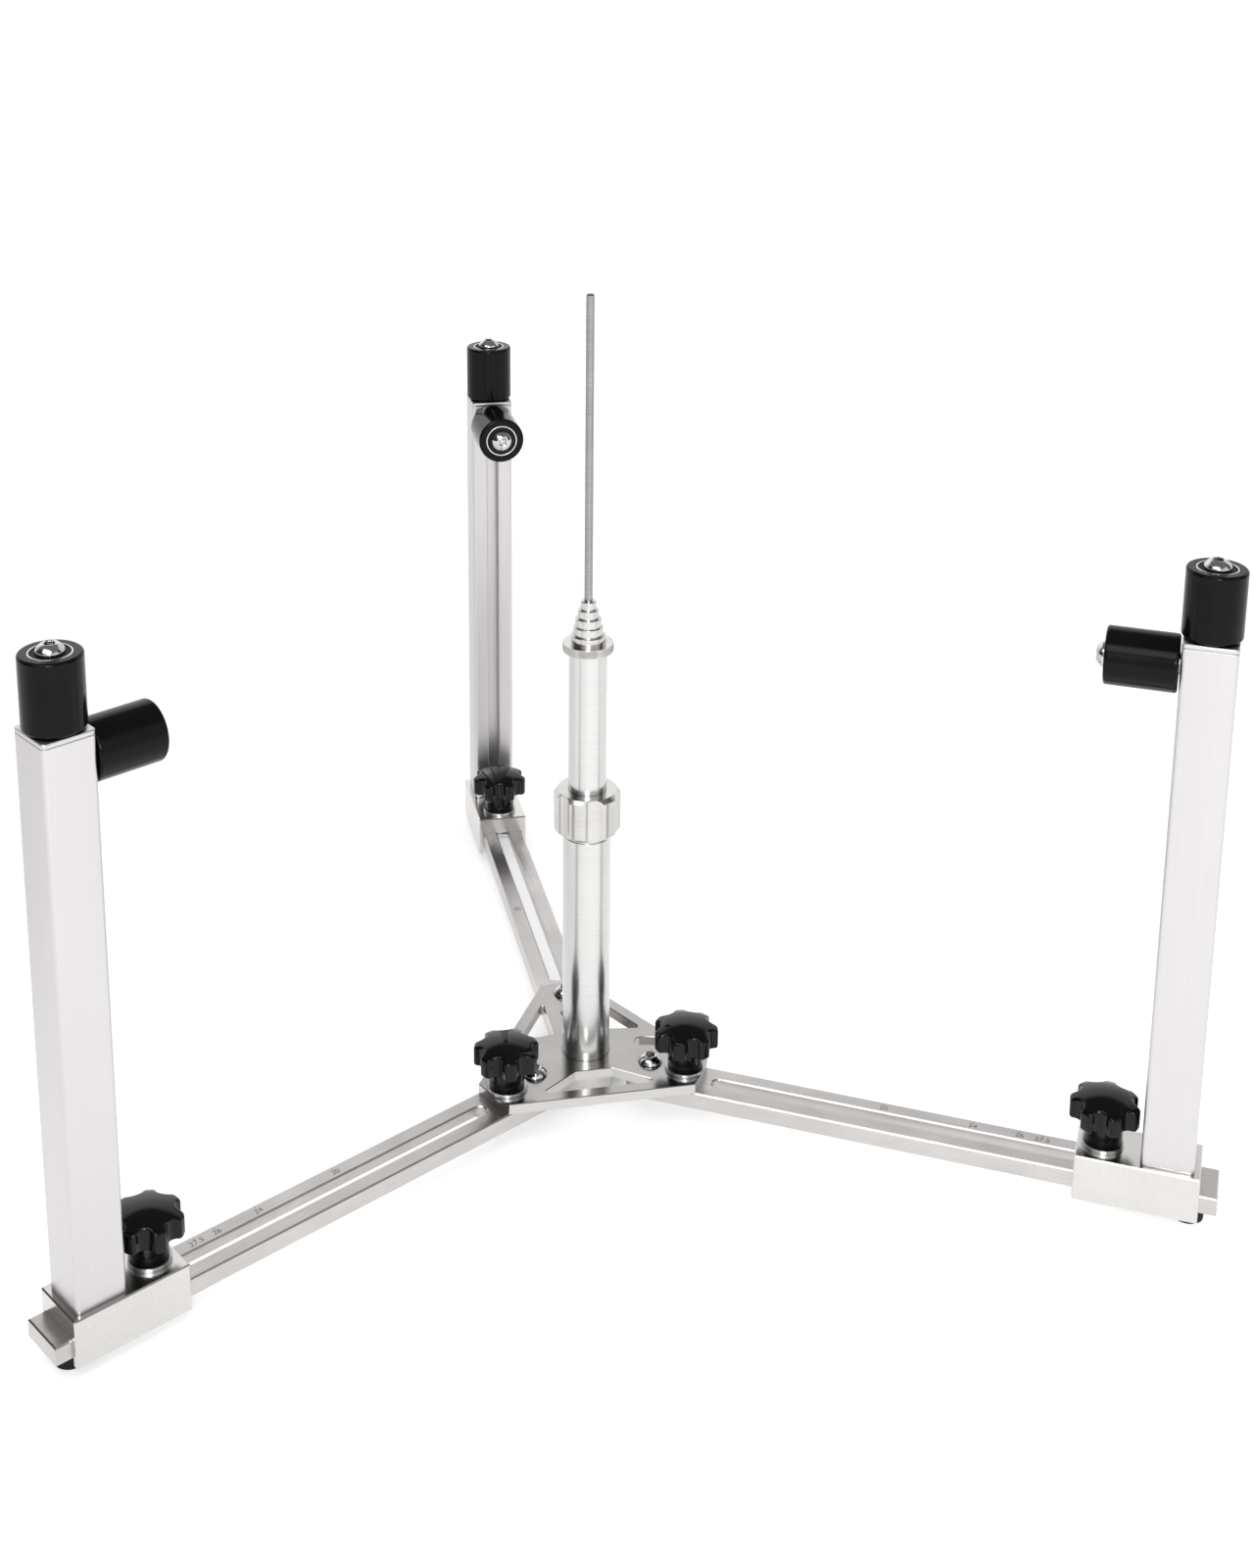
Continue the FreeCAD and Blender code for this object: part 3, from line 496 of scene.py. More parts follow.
# --------------------------------------------------------------------------------------------
# Star knobs: a smooth domed head with seven lobes on a round stem
# --------------------------------------------------------------------------------------------
KNOB_LOBES = 7
KNOB_REACH = 19 * MM
KNOB_STEM_REACH = 10.3 * MM
KNOB_STEM_BASE = 2.2 * MM
KNOB_HEAD_BASE = 15.5 * MM
KNOB_HEIGHT = 31 * MM
KNOB_CROWN = 4.4 * MM
LOBE_ROUND = 2.2 * MM
VALLEY_RADIUS = 4.8 * MM
VALLEY_DEPTH = 4.3 * MM
RIM_ROUND = 1.5 * MM
SKIRT_ROUND = 1.0 * MM
STEM_EDGE = 0.4 * MM
NECK_HEIGHT = 0.8 * MM
NECK_FLARE = 0.3 * MM
VALLEY_STEPS = 9
LOBE_STEPS = 10
TIP_STEPS = 5
ROUND_STEPS = 6
CROWN_RINGS = 12
# The innermost ring of the dome, as a share of its rim
CROWN_EYE = 0.02


def star_outline(inset):
    """Lobed outline, drawn in from its full size by an inset, always with the same number of points."""
    valley_reach = KNOB_REACH + VALLEY_RADIUS - VALLEY_DEPTH
    round_reach = KNOB_REACH - LOBE_ROUND
    gap = VALLEY_RADIUS + LOBE_ROUND
    lean = math.acos((round_reach**2 + valley_reach**2 - gap**2) / (2 * round_reach * valley_reach))
    half = math.pi / KNOB_LOBES
    valley = Vector((valley_reach, 0))
    corner = Vector((round_reach * math.cos(lean), round_reach * math.sin(lean)))
    away = math.atan2(corner.y - valley.y, corner.x - valley.x)
    # From the valley's middle to the lobe's middle, then mirrored for the other half
    points = arc(valley, VALLEY_RADIUS + inset, math.pi, away, VALLEY_STEPS)
    points += arc(corner, LOBE_ROUND - inset, away - math.pi, lean, LOBE_STEPS)
    points += arc(Vector((0, 0)), KNOB_REACH - inset, lean, half, TIP_STEPS)
    tip = (KNOB_REACH - inset) * Vector((math.cos(half), math.sin(half)))
    back = []
    for point in reversed(points[1:]):
        along = point.dot(tip.normalized())
        back.append(2 * along * tip.normalized() - point)
    lobe = points + [tip] + back
    outline = []
    for i in range(KNOB_LOBES):
        turn = Matrix.Rotation(FULL_TURN * i / KNOB_LOBES, 2)
        outline += [turn @ point for point in lobe]
    return outline


def crown(point):
    """Level of the smooth dome over a point of the head."""
    return KNOB_HEIGHT - KNOB_CROWN * (point.length / KNOB_REACH) ** 2


def knob_rings():
    """Rings of points from the foot of the stem, round the head and in over the dome."""
    full = star_outline(0)
    spokes = [point.normalized() for point in full]

    def stem(reach, level):
        return [(*(reach * spoke), level) for spoke in spokes]

    rings = [
        stem(KNOB_STEM_REACH - STEM_EDGE, KNOB_STEM_BASE),
        stem(KNOB_STEM_REACH, KNOB_STEM_BASE + STEM_EDGE),
        stem(KNOB_STEM_REACH, KNOB_HEAD_BASE - NECK_HEIGHT),
        stem(KNOB_STEM_REACH + NECK_FLARE, KNOB_HEAD_BASE),
    ]
    angles = [QUARTER_TURN * i / ROUND_STEPS for i in range(ROUND_STEPS + 1)]
    for angle in angles:
        drawn_in = star_outline(SKIRT_ROUND * (1 - math.sin(angle)))
        level = KNOB_HEAD_BASE + SKIRT_ROUND * (1 - math.cos(angle))
        rings.append([(*point, level) for point in drawn_in])
    for angle in angles:
        drawn_in = star_outline(RIM_ROUND * (1 - math.cos(angle)))
        drop = RIM_ROUND * (1 - math.sin(angle))
        rings.append([(*point, crown(point) - drop) for point in drawn_in])
    inner = star_outline(RIM_ROUND)
    for i in range(1, CROWN_RINGS + 1):
        shrunk = [point * max(CROWN_EYE, 1 - i / CROWN_RINGS) for point in inner]
        rings.append([(*point, crown(point)) for point in shrunk])
    return rings


def make_knob(node, lobe_turn):
    """Moulded knob in place of the frame's plain one, its star turned as it was last tightened."""
    centre = middle(node)
    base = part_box(node)[1].z - KNOB_HEIGHT
    place = Matrix.Translation((centre.x, centre.y, base)) @ Matrix.Rotation(lobe_turn, 4, "Z")
    mesh = skin(node + "_moulded", knob_rings(), place)
    piece = finish_piece(mesh, node + "_moulded", node, [knob_plastic], smooth_degrees=50)
    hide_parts(node)


# How far each star stands turned from rest: no two knobs stop at the same place
KNOB_TURNS = {
    "left_carriage_knob": math.radians(8),
    "right_carriage_knob": math.radians(-21),
    "rear_carriage_knob": math.radians(3),
    "left_arm_knob": math.radians(-15),
    "right_arm_knob": math.radians(11),
}
for node, lobe_turn in KNOB_TURNS.items():
    make_knob(node, lobe_turn)


# --------------------------------------------------------------------------------------------
# Posts with a groove down the side that faces the column, and the square caps over them
# --------------------------------------------------------------------------------------------
POST_SIDE = 28 * MM
CAP_THICK = 2.5 * MM
POST_CORNER = 2.2 * MM
CAP_EDGE = 0.25 * MM
# From the column's axis to the middle of a post
POST_REACH = 333.5 * MM
GROOVE_WIDTH = 8 * MM
GROOVE_DEPTH = 7.5 * MM
GROOVE_EDGE = 0.3 * MM
CORNER_STEPS = 8


def square_outline(inset):
    """Square with rounded corners, drawn in from the post's full size by an inset."""
    middle_of_round = POST_SIDE / 2 - POST_CORNER
    points = []
    for i in range(4):
        start, end = QUARTER_TURN * i, QUARTER_TURN * (i + 1)
        centre = Matrix.Rotation(start, 2) @ Vector((middle_of_round, middle_of_round))
        points += arc(centre, POST_CORNER - inset, start, end, CORNER_STEPS)
        points.append(centre + (POST_CORNER - inset) * Vector((math.cos(end), math.sin(end))))
    return points


def grooved_outline():
    """The post's square outline with a groove in the side that faces the column."""
    half, face = GROOVE_WIDTH / 2, -POST_SIDE / 2
    wall = [(face, half + GROOVE_EDGE), (face + GROOVE_EDGE, half), (face + GROOVE_DEPTH, half)]
    groove = wall + [(x, -y) for x, y in reversed(wall)]
    outline = square_outline(0)
    # The first two corners come before the side that faces the column
    before = 2 * (CORNER_STEPS + 1)
    return outline[:before] + [Vector(point) for point in groove] + outline[before:]


def make_post(station):
    """Extruded post with its guide groove, in place of the frame's plain tube."""
    node = station + "_post"
    low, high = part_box(node)
    rings = [[(*point, level) for point in grooved_outline()] for level in (low.z, high.z)]
    place = Matrix.Rotation(STATION_ANGLE[station], 4, "Z") @ Matrix.Translation((POST_REACH, 0, 0))
    mesh = skin(node + "_grooved", rings, place)
    piece = finish_piece(mesh, node + "_grooved", station + "_carriage", [post_aluminium])
    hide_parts(node)


def make_cap(station):
    """Square cap whose broken edges leave a fine seam above the post's tube."""
    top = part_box(station + "_post_cap")[1].z
    # Inset and level of each ring, up over the lower edge and then over the upper one
    levels = [(CAP_EDGE, 0), (0.3 * CAP_EDGE, 0.3 * CAP_EDGE), (0, CAP_EDGE)]
    levels += [(inset, CAP_THICK - level) for inset, level in reversed(levels)]
    rings = [[(*point, level) for point in square_outline(inset)] for inset, level in levels]
    place = Matrix.Rotation(STATION_ANGLE[station], 4, "Z")
    place = place @ Matrix.Translation((POST_REACH, 0, top - CAP_THICK))
    mesh = skin(station + "_cap_plate", rings, place)
    piece = finish_piece(mesh, station + "_cap_plate", station + "_carriage", [post_aluminium])
    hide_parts(station + "_post_cap")


for station in STATION_ANGLE:
    make_post(station)
    make_cap(station)


# --------------------------------------------------------------------------------------------
# Roller bearings: a ground outer race with a black rubber seal in each face
# --------------------------------------------------------------------------------------------
BEARING_REACH = 11 * MM
BEARING_WIDTH = 7 * MM
RACE_LIP = 9.9 * MM
SEAL_BORE = 6.15 * MM
ROLLER_LENGTH = 37 * MM
BEARING_SEGMENTS = 96


def bearing_profile():
    """Closed profile of a sealed bearing from level nought upwards, with the material of each run."""
    # Radius, depth under the face in millimetres, and the material of the run that starts there
    half = [
        (BEARING_REACH, 0.45, 0),
        (BEARING_REACH - 0.4 * MM, 0.0, 0),
        (RACE_LIP, 0.0, 0),
        (RACE_LIP - 0.12 * MM, 0.25, 1),
        (9.3 * MM, 0.32, 1),
        (9.1 * MM, 0.5, 1),
        (7.4 * MM, 0.42, 1),
        (7.2 * MM, 0.25, 1),
        (6.6 * MM, 0.25, 1),
        (SEAL_BORE, 0.5, 1),
        (SEAL_BORE, 1.3, 1),
        (RACE_LIP - 0.8 * MM, 1.3, 0),
    ]
    points = [(radius, depth * MM) for radius, depth, _ in half]
    points += [(radius, BEARING_WIDTH - depth * MM) for radius, depth, _ in reversed(half)]
    runs = [slot for _, _, slot in half[:-1]]
    return points + points[:1], runs + [0] + runs[::-1] + [0]


def axle_place(node, station, kind):
    """Matrix at the middle of a roller's node, its +Z along the axle to the bolt's head."""
    place = Matrix.Translation(middle(node))
    if kind == "side":
        return place
    arm_turn = Matrix.Rotation(STATION_ANGLE[station], 4, "Z")
    return place @ arm_turn @ Matrix.Rotation(-QUARTER_TURN, 4, "Y")


def make_bearings(station, kind):
    """The two bearings of a roller, in place of the frame's plain rings."""
    node = "%s_%s_bearings" % (station, kind)
    place = axle_place(node, station, kind)
    near = Matrix.Translation((0, 0, -ROLLER_LENGTH / 2))
    far = Matrix.Translation((0, 0, ROLLER_LENGTH / 2 - BEARING_WIDTH))
    profile, slots = bearing_profile()
    mesh = lathe(node + "_sealed", profile, BEARING_SEGMENTS, [place @ near, place @ far], slots=slots)
    roller = "%s_%s_roller" % (station, kind)
    piece = finish_piece(mesh, node + "_sealed", roller, [ground_steel, seal_rubber])
    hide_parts(node)


for station in STATION_ANGLE:
    make_bearings(station, "side")
    make_bearings(station, "support")


# --------------------------------------------------------------------------------------------
# Button-head screws: a low dome with a rolled edge and a hex socket
# --------------------------------------------------------------------------------------------
HEAD_REACH = 7 * MM
HEAD_HEIGHT = 4.4 * MM
HEAD_FOOT_EDGE = 0.3 * MM
DOME_RADIUS = 8 * MM
CROWN_FLAT = 3.7 * MM
SHANK_RADIUS = 4 * MM
SOCKET_RIM = 3.4 * MM
SOCKET_CORNER = 2.9 * MM
SOCKET_DEPTH = 2.6 * MM
SOCKET_CHAMFER = 0.35 * MM
DRILL_POINT = 0.7 * MM
ROLLER_BOLT_LENGTH = 45 * MM
SCREW_SEGMENTS = 72
DOME_STEPS = 9
# Above one, this crowds the dome's rings towards its edge, where the light turns fastest
DOME_CROWDING = 1.4


def socket_wall(radius, level, angle):
    """Reach of a screw's surface: six flats inside its socket, round everywhere else."""
    if radius > SOCKET_CORNER:
        return radius
    sixth = FULL_TURN / 6
    return radius * math.cos(sixth / 2) / math.cos(angle % sixth - sixth / 2)


def screw_profile(length):
    """Profile of a screw from its tip to the floor of its socket, the head's underside at level nought."""

    def dome(radius):
        drop = math.sqrt(DOME_RADIUS**2 - CROWN_FLAT**2) - math.sqrt(DOME_RADIUS**2 - radius**2)
        return HEAD_HEIGHT - drop

    points = [(0, -length), (SHANK_RADIUS, -length), (SHANK_RADIUS, 0)]
    points += [(HEAD_REACH - HEAD_FOOT_EDGE, 0), (HEAD_REACH, HEAD_FOOT_EDGE)]
    for i in range(DOME_STEPS + 1):
        radius = HEAD_REACH + (CROWN_FLAT - HEAD_REACH) * (i / DOME_STEPS) ** DOME_CROWDING
        points.append((radius, dome(radius)))
    floor = HEAD_HEIGHT - SOCKET_DEPTH
    points += [(SOCKET_RIM, HEAD_HEIGHT), (SOCKET_CORNER, HEAD_HEIGHT - SOCKET_CHAMFER)]
    return points + [(SOCKET_CORNER, floor), (0, floor - DRILL_POINT)]


def make_screws(node, body, length, places):
    """Screws in place of the frame's plain ones, each place at the underside of a head."""
    mesh = lathe(node + "_socket", screw_profile(length), SCREW_SEGMENTS, places, socket_wall)
    piece = finish_piece(mesh, node + "_socket", body, [polished_steel], smooth_degrees=32)
    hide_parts(node)


def make_plate_screws():
    """The two screws that hold the rear arm, and the two that the front arms turn on."""
    for node in ("rear_arm_screws", "arm_pivot_screws"):
        low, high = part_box(node)
        inset = Vector((HEAD_REACH, HEAD_REACH, HEAD_HEIGHT))
        near, far = low + inset, high - inset
        near.z = far.z
        make_screws(node, "base", far.z - low.z, [Matrix.Translation(near), Matrix.Translation(far)])


def make_roller_bolts(station):
    """The bolt of the standing roller and the bolt of the lying one."""
    out = Matrix.Translation((0, 0, ROLLER_LENGTH / 2))
    standing = axle_place(station + "_side_roller", station, "side")
    lying = axle_place(station + "_support_roller", station, "support")
    node = station + "_roller_bolts"
    make_screws(node, station + "_carriage", ROLLER_BOLT_LENGTH, [standing @ out, lying @ out])


for station in STATION_ANGLE:
    make_roller_bolts(station)
make_plate_screws()


# --------------------------------------------------------------------------------------------
# Knurl on the hub adapter's flange: rows of small pyramids, laid by a geometry-node tree
# --------------------------------------------------------------------------------------------
FLANGE_REACH = 14.3 * MM
FLANGE_HEIGHT = 5 * MM
SPIGOT_LENGTH = 16 * MM
KNURL_EDGE = 0.4 * MM
# Corner reach of a tooth's foot as a share of the pitch: a little over a half, so that teeth touch
TOOTH_SPREAD = 0.56
KNURL_INPUTS = {
    "Radius": "NodeSocketFloat",
    "Base": "NodeSocketFloat",
    "Height": "NodeSocketFloat",
    "Rows": "NodeSocketInt",
    "Teeth": "NodeSocketInt",
    "Rise": "NodeSocketFloat",
    "Finish": "NodeSocketMaterial",
}


def grown(name, tree, material, inputs):
    """Plain mesh that a geometry-node tree grows from its named inputs."""
    carrier = new_object(name + "_seed", bpy.data.meshes.new(name + "_seed"))
    modifier = carrier.modifiers.new("grow", "NODES")
    modifier.node_group = tree
    sockets = [item for item in tree.interface.items_tree if item.in_out == "INPUT"]
    identifiers = {socket.name: socket.identifier for socket in sockets}
    for key, value in dict(inputs, Finish=material).items():
        modifier[identifiers[key]] = value
    return settled_mesh(carrier)


def knurl_tree():
    """Rows of four-sided pyramids round a cylinder, each row set half a pitch on."""
    tree = bpy.data.node_groups.new("diamond_knurl", "GeometryNodeTree")
    tree.interface.new_socket(name="Geometry", in_out="OUTPUT", socket_type="NodeSocketGeometry")
    for name, kind in KNURL_INPUTS.items():
        tree.interface.new_socket(name=name, in_out="INPUT", socket_type=kind)
    given = add(tree, "NodeGroupInput").outputs

    def number(operation, first, second=0.0):
        return maths(tree, operation, first, second)

    points = add(
        tree, "GeometryNodePoints", links={"Count": number("MULTIPLY", given["Rows"], given["Teeth"])}
    )
    index = add(tree, "GeometryNodeInputIndex").outputs[0]
    row = number("FLOOR", number("DIVIDE", index, given["Teeth"]))
    column = number("MODULO", index, given["Teeth"])
    shift = number("MULTIPLY", number("MODULO", row, 2.0), 0.5)
    step = number("DIVIDE", FULL_TURN, given["Teeth"])
    angle = number("MULTIPLY", number("ADD", column, shift), step)
    pitch = number("DIVIDE", given["Height"], given["Rows"])
    rise = number("MULTIPLY", number("ADD", row, 0.5), pitch)
    where = add(
        tree,
        "ShaderNodeCombineXYZ",
        links={
            0: number("MULTIPLY", number("COSINE", angle), given["Radius"]),
            1: number("MULTIPLY", number("SINE", angle), given["Radius"]),
            2: number("ADD", rise, given["Base"]),
        },
    )
    spread = add(
        tree, "GeometryNodeSetPosition", links={"Geometry": points.outputs[0], "Position": where.outputs[0]}
    )
    tooth_reach = number("MULTIPLY", number("MULTIPLY", step, given["Radius"]), TOOTH_SPREAD)
    cone = add(
        tree,
        "GeometryNodeMeshCone",
        {"Vertices": 4, "fill_type": "NGON", "Radius Top": 0.0},
        {"Radius Bottom": tooth_reach, "Depth": given["Rise"]},
    )
    turn = add(tree, "ShaderNodeCombineXYZ", {1: QUARTER_TURN}, {2: angle})
    rows = add(
        tree,
        "GeometryNodeInstanceOnPoints",
        links={"Points": spread.outputs[0], "Instance": cone.outputs[0], "Rotation": turn.outputs[0]},
    )
    solid = add(tree, "GeometryNodeRealizeInstances", links={"Geometry": rows.outputs[0]})
    dressed = add(
        tree,
        "GeometryNodeSetMaterial",
        links={"Geometry": solid.outputs[0], "Material": given["Finish"]},
    )
    add(tree, "NodeGroupOutput", links={0: dressed.outputs[0]})
    return tree


def make_knurl():
    """Diamond knurl proud of the adapter's flange."""
    flange_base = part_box("hub_adapter")[0].z + SPIGOT_LENGTH
    mesh = grown(
        "flange_knurl",
        knurl_tree(),
        turned_aluminium,
        {
            "Radius": FLANGE_REACH,
            "Base": flange_base + KNURL_EDGE,
            "Height": FLANGE_HEIGHT - 2 * KNURL_EDGE,
            "Rows": 4,
            "Teeth": 76,
            "Rise": 0.3 * MM,
        },
    )
    piece = new_object("flange_knurl", mesh)
    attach(piece, "hub_centring")


make_knurl()


# --------------------------------------------------------------------------------------------
# Size marks: a tick and a plain number on each arm where the carriage's end stands for a wheel
# --------------------------------------------------------------------------------------------
# Wheel size, and how far the carriage's inner end then stands from the column's axis
WHEEL_MARKS = {"27.5": 266.0 * MM, "26": 253.5 * MM, "24": 227.5 * MM, "20": 177.0 * MM}
# From the arm's middle line to the ticks' outer ends, and to the middle of the figures
TICK_EDGE = 12.22 * MM
FIGURE_MIDDLE = 8.4 * MM
TICK_LENGTH = 2.6 * MM
TICK_WIDTH = 0.3 * MM
FIGURE_HEIGHT = 3.6 * MM
# A font's size to the height of its figures
FONT_RATIO = 1.4
MARK_LIFT = 0.03 * MM


def figure_mesh(words):
    """Flat mesh of a number, its middle at the origin, FIGURE_HEIGHT high."""
    curve = bpy.data.curves.new("figure", "FONT")
    curve.body = words
    curve.align_x, curve.align_y = "CENTER", "CENTER"
    curve.size = FIGURE_HEIGHT * FONT_RATIO
    curve.resolution_u = 3
    return settled_mesh(new_object("figure", curve))


def make_marks(station, body):
    """All the marks of one arm as one thin flat mesh on the strip beside the slot."""
    hand = -1 if station == "left" else 1
    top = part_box(station + "_arm")[1].z + MARK_LIFT
    arm_turn = Matrix.Rotation(STATION_ANGLE[station], 4, "Z")
    shape = bmesh.new()
    for words, reach in WHEEL_MARKS.items():
        tick = []
        for x, y in ((-0.5, 0), (0.5, 0), (0.5, 1), (-0.5, 1)):
            corner = Vector((reach + x * TICK_WIDTH, hand * (TICK_EDGE - y * TICK_LENGTH), top))
            tick.append(shape.verts.new(arm_turn @ corner))
        shape.faces.new(tick if hand < 0 else tick[::-1])
        figures = figure_mesh(words)
        lie = Matrix.Translation((reach, hand * FIGURE_MIDDLE, top))
        face = Matrix.Rotation(0 if hand > 0 else math.pi, 4, "Z")
        figures.transform(arm_turn @ lie @ face)
        shape.from_mesh(figures)
        bpy.data.meshes.remove(figures)
    for flat in shape.faces:
        flat.normal_update()
        if flat.normal.z < 0:
            flat.normal_flip()
        flat.material_index = 0
    mesh = mesh_of(shape, station + "_size_marks")
    piece = finish_piece(mesh, station + "_size_marks", body, [mark_oxide])


for station in STATION_ANGLE:
    make_marks(station, "base" if station == "rear" else station + "_arm")


# --------------------------------------------------------------------------------------------
# Camera, light and floor
# --------------------------------------------------------------------------------------------
# The lens's axis meets the picture at this pixel of a 1280 x 1600 frame
AXIS_PIXEL = (530, 335)
PICTURE = (1280, 1600)
FOCAL_PIXELS = 2175
CAMERA_PLACE = Vector((-0.0387, -1.1248, 0.7595))
CAMERA_PITCH = math.radians(-14.38)
CAMERA_ROLL = math.radians(-0.12)
STAND_TURN = math.radians(10.41)


def make_camera():
    """Camera at the height and side from which such a stand is looked at on a bench."""
    lens = bpy.data.cameras.new("camera")
    lens.sensor_width = 36
    lens.sensor_fit = "AUTO"
    lens.lens = FOCAL_PIXELS / PICTURE[1] * lens.sensor_width
    lens.shift_x = (PICTURE[0] / 2 - AXIS_PIXEL[0]) / PICTURE[1]
    lens.shift_y = (AXIS_PIXEL[1] - PICTURE[1] / 2) / PICTURE[1]
    lens.clip_start, lens.clip_end = 0.01, 100
    camera = new_object("camera", lens)
    turn = Matrix.Rotation(-STAND_TURN, 4, "Z")
    level_view = Matrix.Rotation(QUARTER_TURN, 4, "X")
    pitch = Matrix.Rotation(CAMERA_PITCH, 4, "X")
    roll = Matrix.Rotation(CAMERA_ROLL, 4, "Z")
    camera.matrix_world = turn @ Matrix.Translation(CAMERA_PLACE) @ pitch @ level_view @ roll
    bpy.context.scene.camera = camera


def compass(degrees):
    """Level unit vector, at a turn to the right from the way towards the camera."""
    angle = math.radians(-90 + degrees) - STAND_TURN
    return Vector((math.cos(angle), math.sin(angle), 0))


# The floor's glow, painted light that lifts its shadows: its strength to the left of the stand and
# to the right of it, what it gains in front and far behind, and the metres from the column over
# which each changes
SIDE_GLOW = (0.4, 0.58)
SIDE_SPAN = (-0.25, 0.1)
FRONT_GLOW = 0.18
FRONT_SPAN = (0.02, 0.14)
FAR_GLOW = 0.13
FAR_SPAN = (-1.6, -0.5)
# The painted shadow behind the column: its middle, how much glow is left there, and where it fades
PAINTED_SHADOW_REACH = 0.024
PAINTED_SHADOW_GLOW = 0.1
PAINTED_SHADOW_SPAN = (0.016, 0.034)
FLOOR_REACH = 12


def make_floor():
    """Plain pale floor that glows with painted light, more so to the right, in front and far behind,
    with a painted shadow behind the column.
    """
    material, tree, shader = new_material("painted_glow_floor")
    where = add(tree, "ShaderNodeTexCoord").outputs["Object"]
    right = add(tree, "ShaderNodeVectorMath", {"operation": "DOT_PRODUCT", 1: compass(90)}, {0: where})
    shader.inputs["Base Color"].default_value = linear("#BCBCBC")
    shader.inputs["Roughness"].default_value = 0.9
    shader.inputs["Specular IOR Level"].default_value = 0.1
    shader.inputs["Emission Color"].default_value = linear("#FFFFFF")
    front = add(tree, "ShaderNodeVectorMath", {"operation": "DOT_PRODUCT", 1: compass(0)}, {0: where})
    side_glow = ramp(tree, right.outputs["Value"], *SIDE_GLOW, *SIDE_SPAN)
    front_glow = ramp(tree, front.outputs["Value"], 0.0, FRONT_GLOW, *FRONT_SPAN)
    # Painted light: the lamps fade far behind the stand, and the floor's glow makes up for them
    far_glow = ramp(tree, front.outputs["Value"], FAR_GLOW, 0.0, *FAR_SPAN)
    glow = maths(tree, "ADD", maths(tree, "ADD", side_glow, front_glow), far_glow)
    # Painted shadow: the glow is dimmed on a spot of the floor behind the column, under the hub plate
    painted_shadow_middle = PAINTED_SHADOW_REACH * compass(180)
    spot = add(tree, "ShaderNodeVectorMath", {"operation": "DISTANCE", 1: painted_shadow_middle}, {0: where})
    painted_shadow_share = ramp(tree, spot.outputs["Value"], PAINTED_SHADOW_GLOW, 1.0, *PAINTED_SHADOW_SPAN)
    tree.links.new(maths(tree, "MULTIPLY", glow, painted_shadow_share), shader.inputs["Emission Strength"])
    corners = [(FLOOR_REACH * x, FLOOR_REACH * y, 0) for x, y in ((-1, -1), (1, -1), (1, 1), (-1, 1))]
    mesh = bpy.data.meshes.new("floor")
    mesh.from_pydata(corners, [], [(0, 1, 2, 3)])
    mesh.materials.append(material)
    floor = new_object("floor", mesh)


def soft_box(name, place, aim, size, watts):
    """Rectangular studio light that points at a spot."""
    light = bpy.data.lights.new(name, "AREA")
    light.shape = "RECTANGLE"
    light.size, light.size_y = size
    light.energy = watts
    lamp = new_object(name, light)
    lamp.location = place
    lamp.rotation_euler = (Vector(aim) - Vector(place)).to_track_quat("-Z", "Y").to_euler()


# How strongly each part of the room shines
HORIZON_GLOW = 1.0
WALL_GLOW = 0.95
BACKDROP_GLOW = 1.4
LEFT_GLOW = 0.05
STRIP_GLOW = 0.1
CEILING_GLOW = 0.22


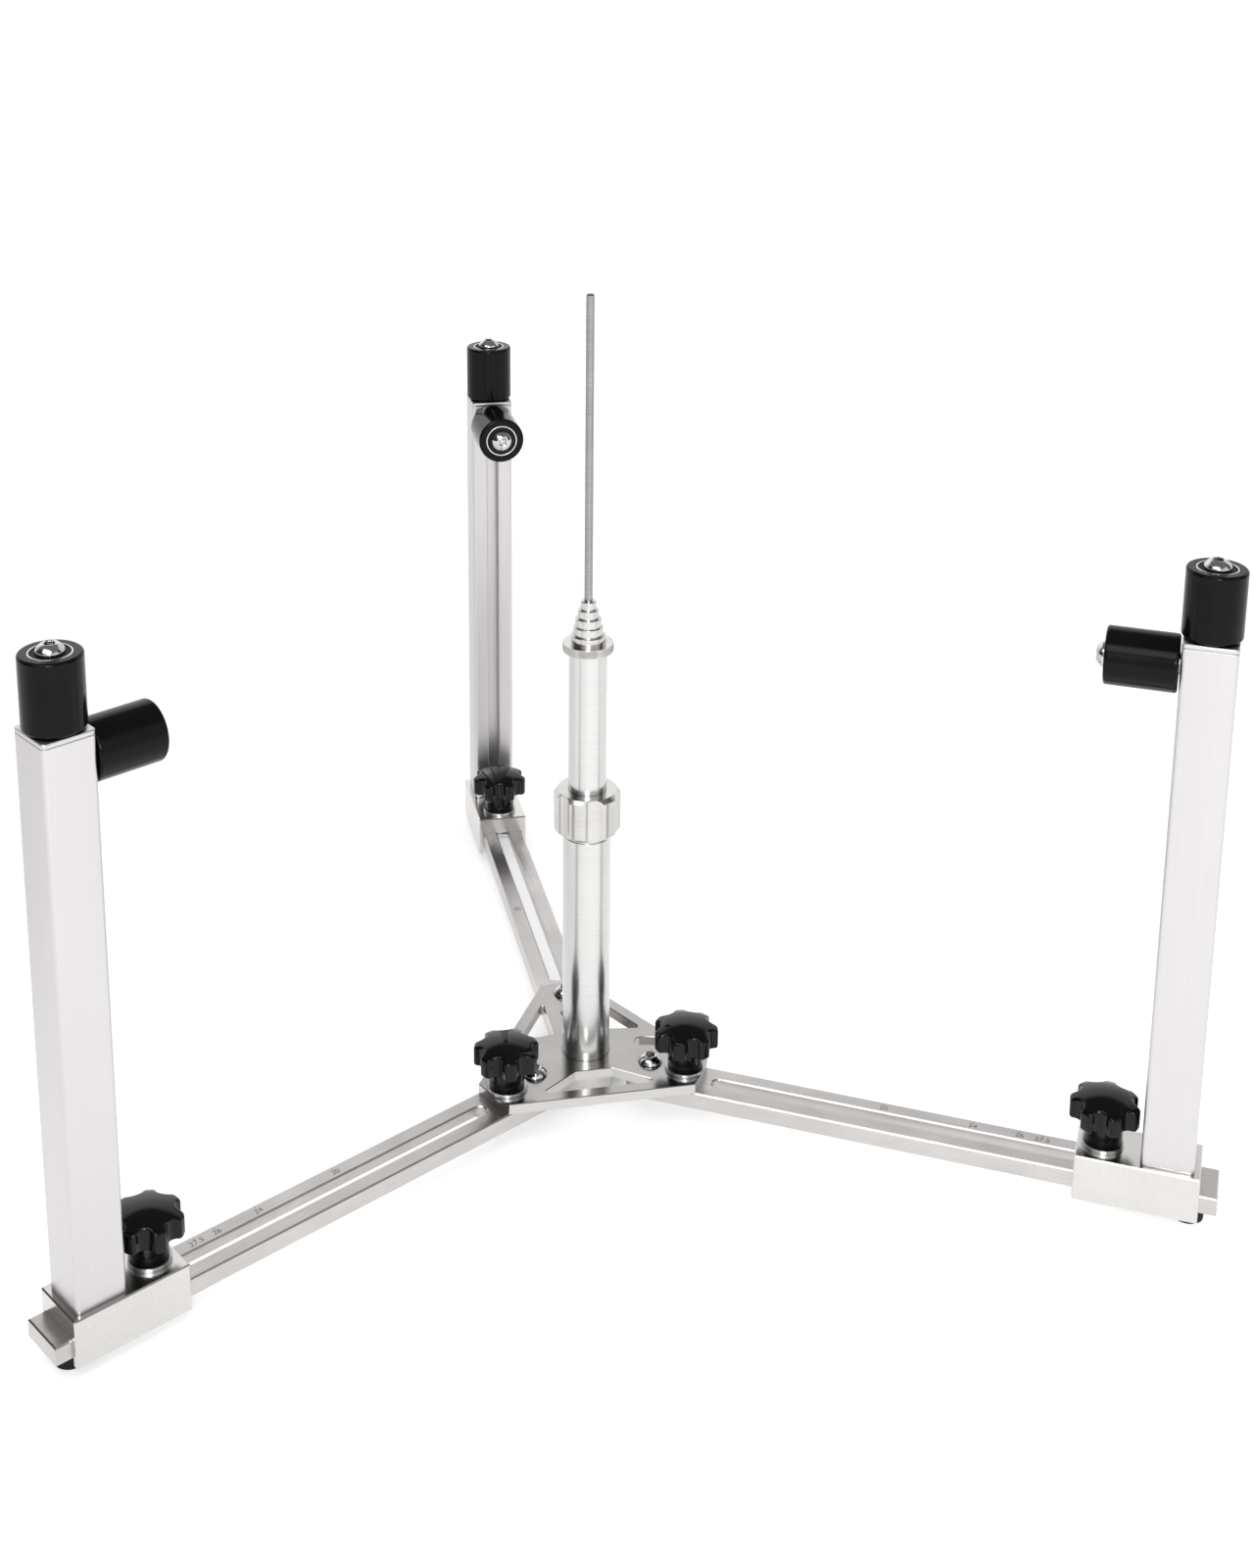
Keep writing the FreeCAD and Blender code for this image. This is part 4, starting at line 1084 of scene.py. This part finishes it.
def make_studio():
    """White room, brightest behind to the left, with a dark left side, a narrow dark strip on the
    right and a dim ceiling."""
    world = bpy.data.worlds.new("studio")
    world.use_nodes = True
    tree = world.node_tree
    tree.nodes.clear()
    look = add(tree, "ShaderNodeTexCoord").outputs["Generated"]
    height = add(tree, "ShaderNodeSeparateXYZ", links={0: look}).outputs[2]
    level = add(tree, "ShaderNodeVectorMath", {"operation": "MULTIPLY", 1: (1, 1, 0)}, {0: look})
    unit = add(tree, "ShaderNodeVectorMath", {"operation": "NORMALIZE"}, {0: level.outputs[0]})
    heading = unit.outputs[0]

    def towards(degrees, narrow, wide):
        """One inside a narrow angle of a heading, nought outside the wide one."""
        settings = {"operation": "DOT_PRODUCT", 1: compass(degrees)}
        along = add(tree, "ShaderNodeVectorMath", settings, {0: heading})
        edges = math.cos(math.radians(wide)), math.cos(math.radians(narrow))
        return ramp(tree, along.outputs["Value"], 0.0, 1.0, *edges)

    def blend(share, first, second):
        """Strength between two, each a number or another node's output."""
        node = add(tree, "ShaderNodeMix", {"data_type": "FLOAT"}, {0: share})
        for slot, value in ((2, first), (3, second)):
            if isinstance(value, float):
                node.inputs[slot].default_value = value
            else:
                tree.links.new(value, node.inputs[slot])
        return node.outputs[0]

    # Headings are degrees to the right of the camera, heights the sine of the angle above level
    backdrop = ramp(tree, towards(-160, 10, 45), WALL_GLOW, BACKDROP_GLOW, 0.0, 1.0)
    glow = blend(ramp(tree, height, 0.0, 1.0, 0.06, 0.25), HORIZON_GLOW, backdrop)
    glow = blend(towards(20, 50, 85), glow, WALL_GLOW)
    glow = blend(towards(-75, 25, 55), glow, LEFT_GLOW)
    glow = blend(towards(93, 8, 22), glow, STRIP_GLOW)
    glow = blend(ramp(tree, height, 0.0, 1.0, 0.62, 0.72), glow, CEILING_GLOW)
    lit = add(tree, "ShaderNodeBackground", {"Color": linear("#FFFFFF")}, {"Strength": glow})
    add(tree, "ShaderNodeOutputWorld", links={"Surface": lit.outputs[0]})
    bpy.context.scene.world = world


KEY_DISTANCE = 2.3
KEY_HEIGHT = math.radians(54)
KEY_HEADING = -24


def make_light():
    """Broad light from straight above that no gloss shows, a key light from the front left, and a
    small light in front."""
    light = bpy.data.lights.new("overhead", "SUN")
    light.energy = 1.8
    light.angle = math.radians(60)
    lamp = new_object("overhead", light)
    lamp.visible_glossy = False
    up = Vector((0, 0, 1))
    key_place = KEY_DISTANCE * (math.cos(KEY_HEIGHT) * compass(KEY_HEADING) + math.sin(KEY_HEIGHT) * up)
    soft_box("key_light", key_place, aim=(0, 0, 0.1), size=(1.9, 0.8), watts=15)
    soft_box("front_light", (-0.5, -2.4, 1.3), aim=(0, 0, 0.2), size=(0.5, 0.5), watts=24)


make_camera()
make_floor()
make_studio()
make_light()
bpy.context.scene.view_settings.view_transform = "Standard"
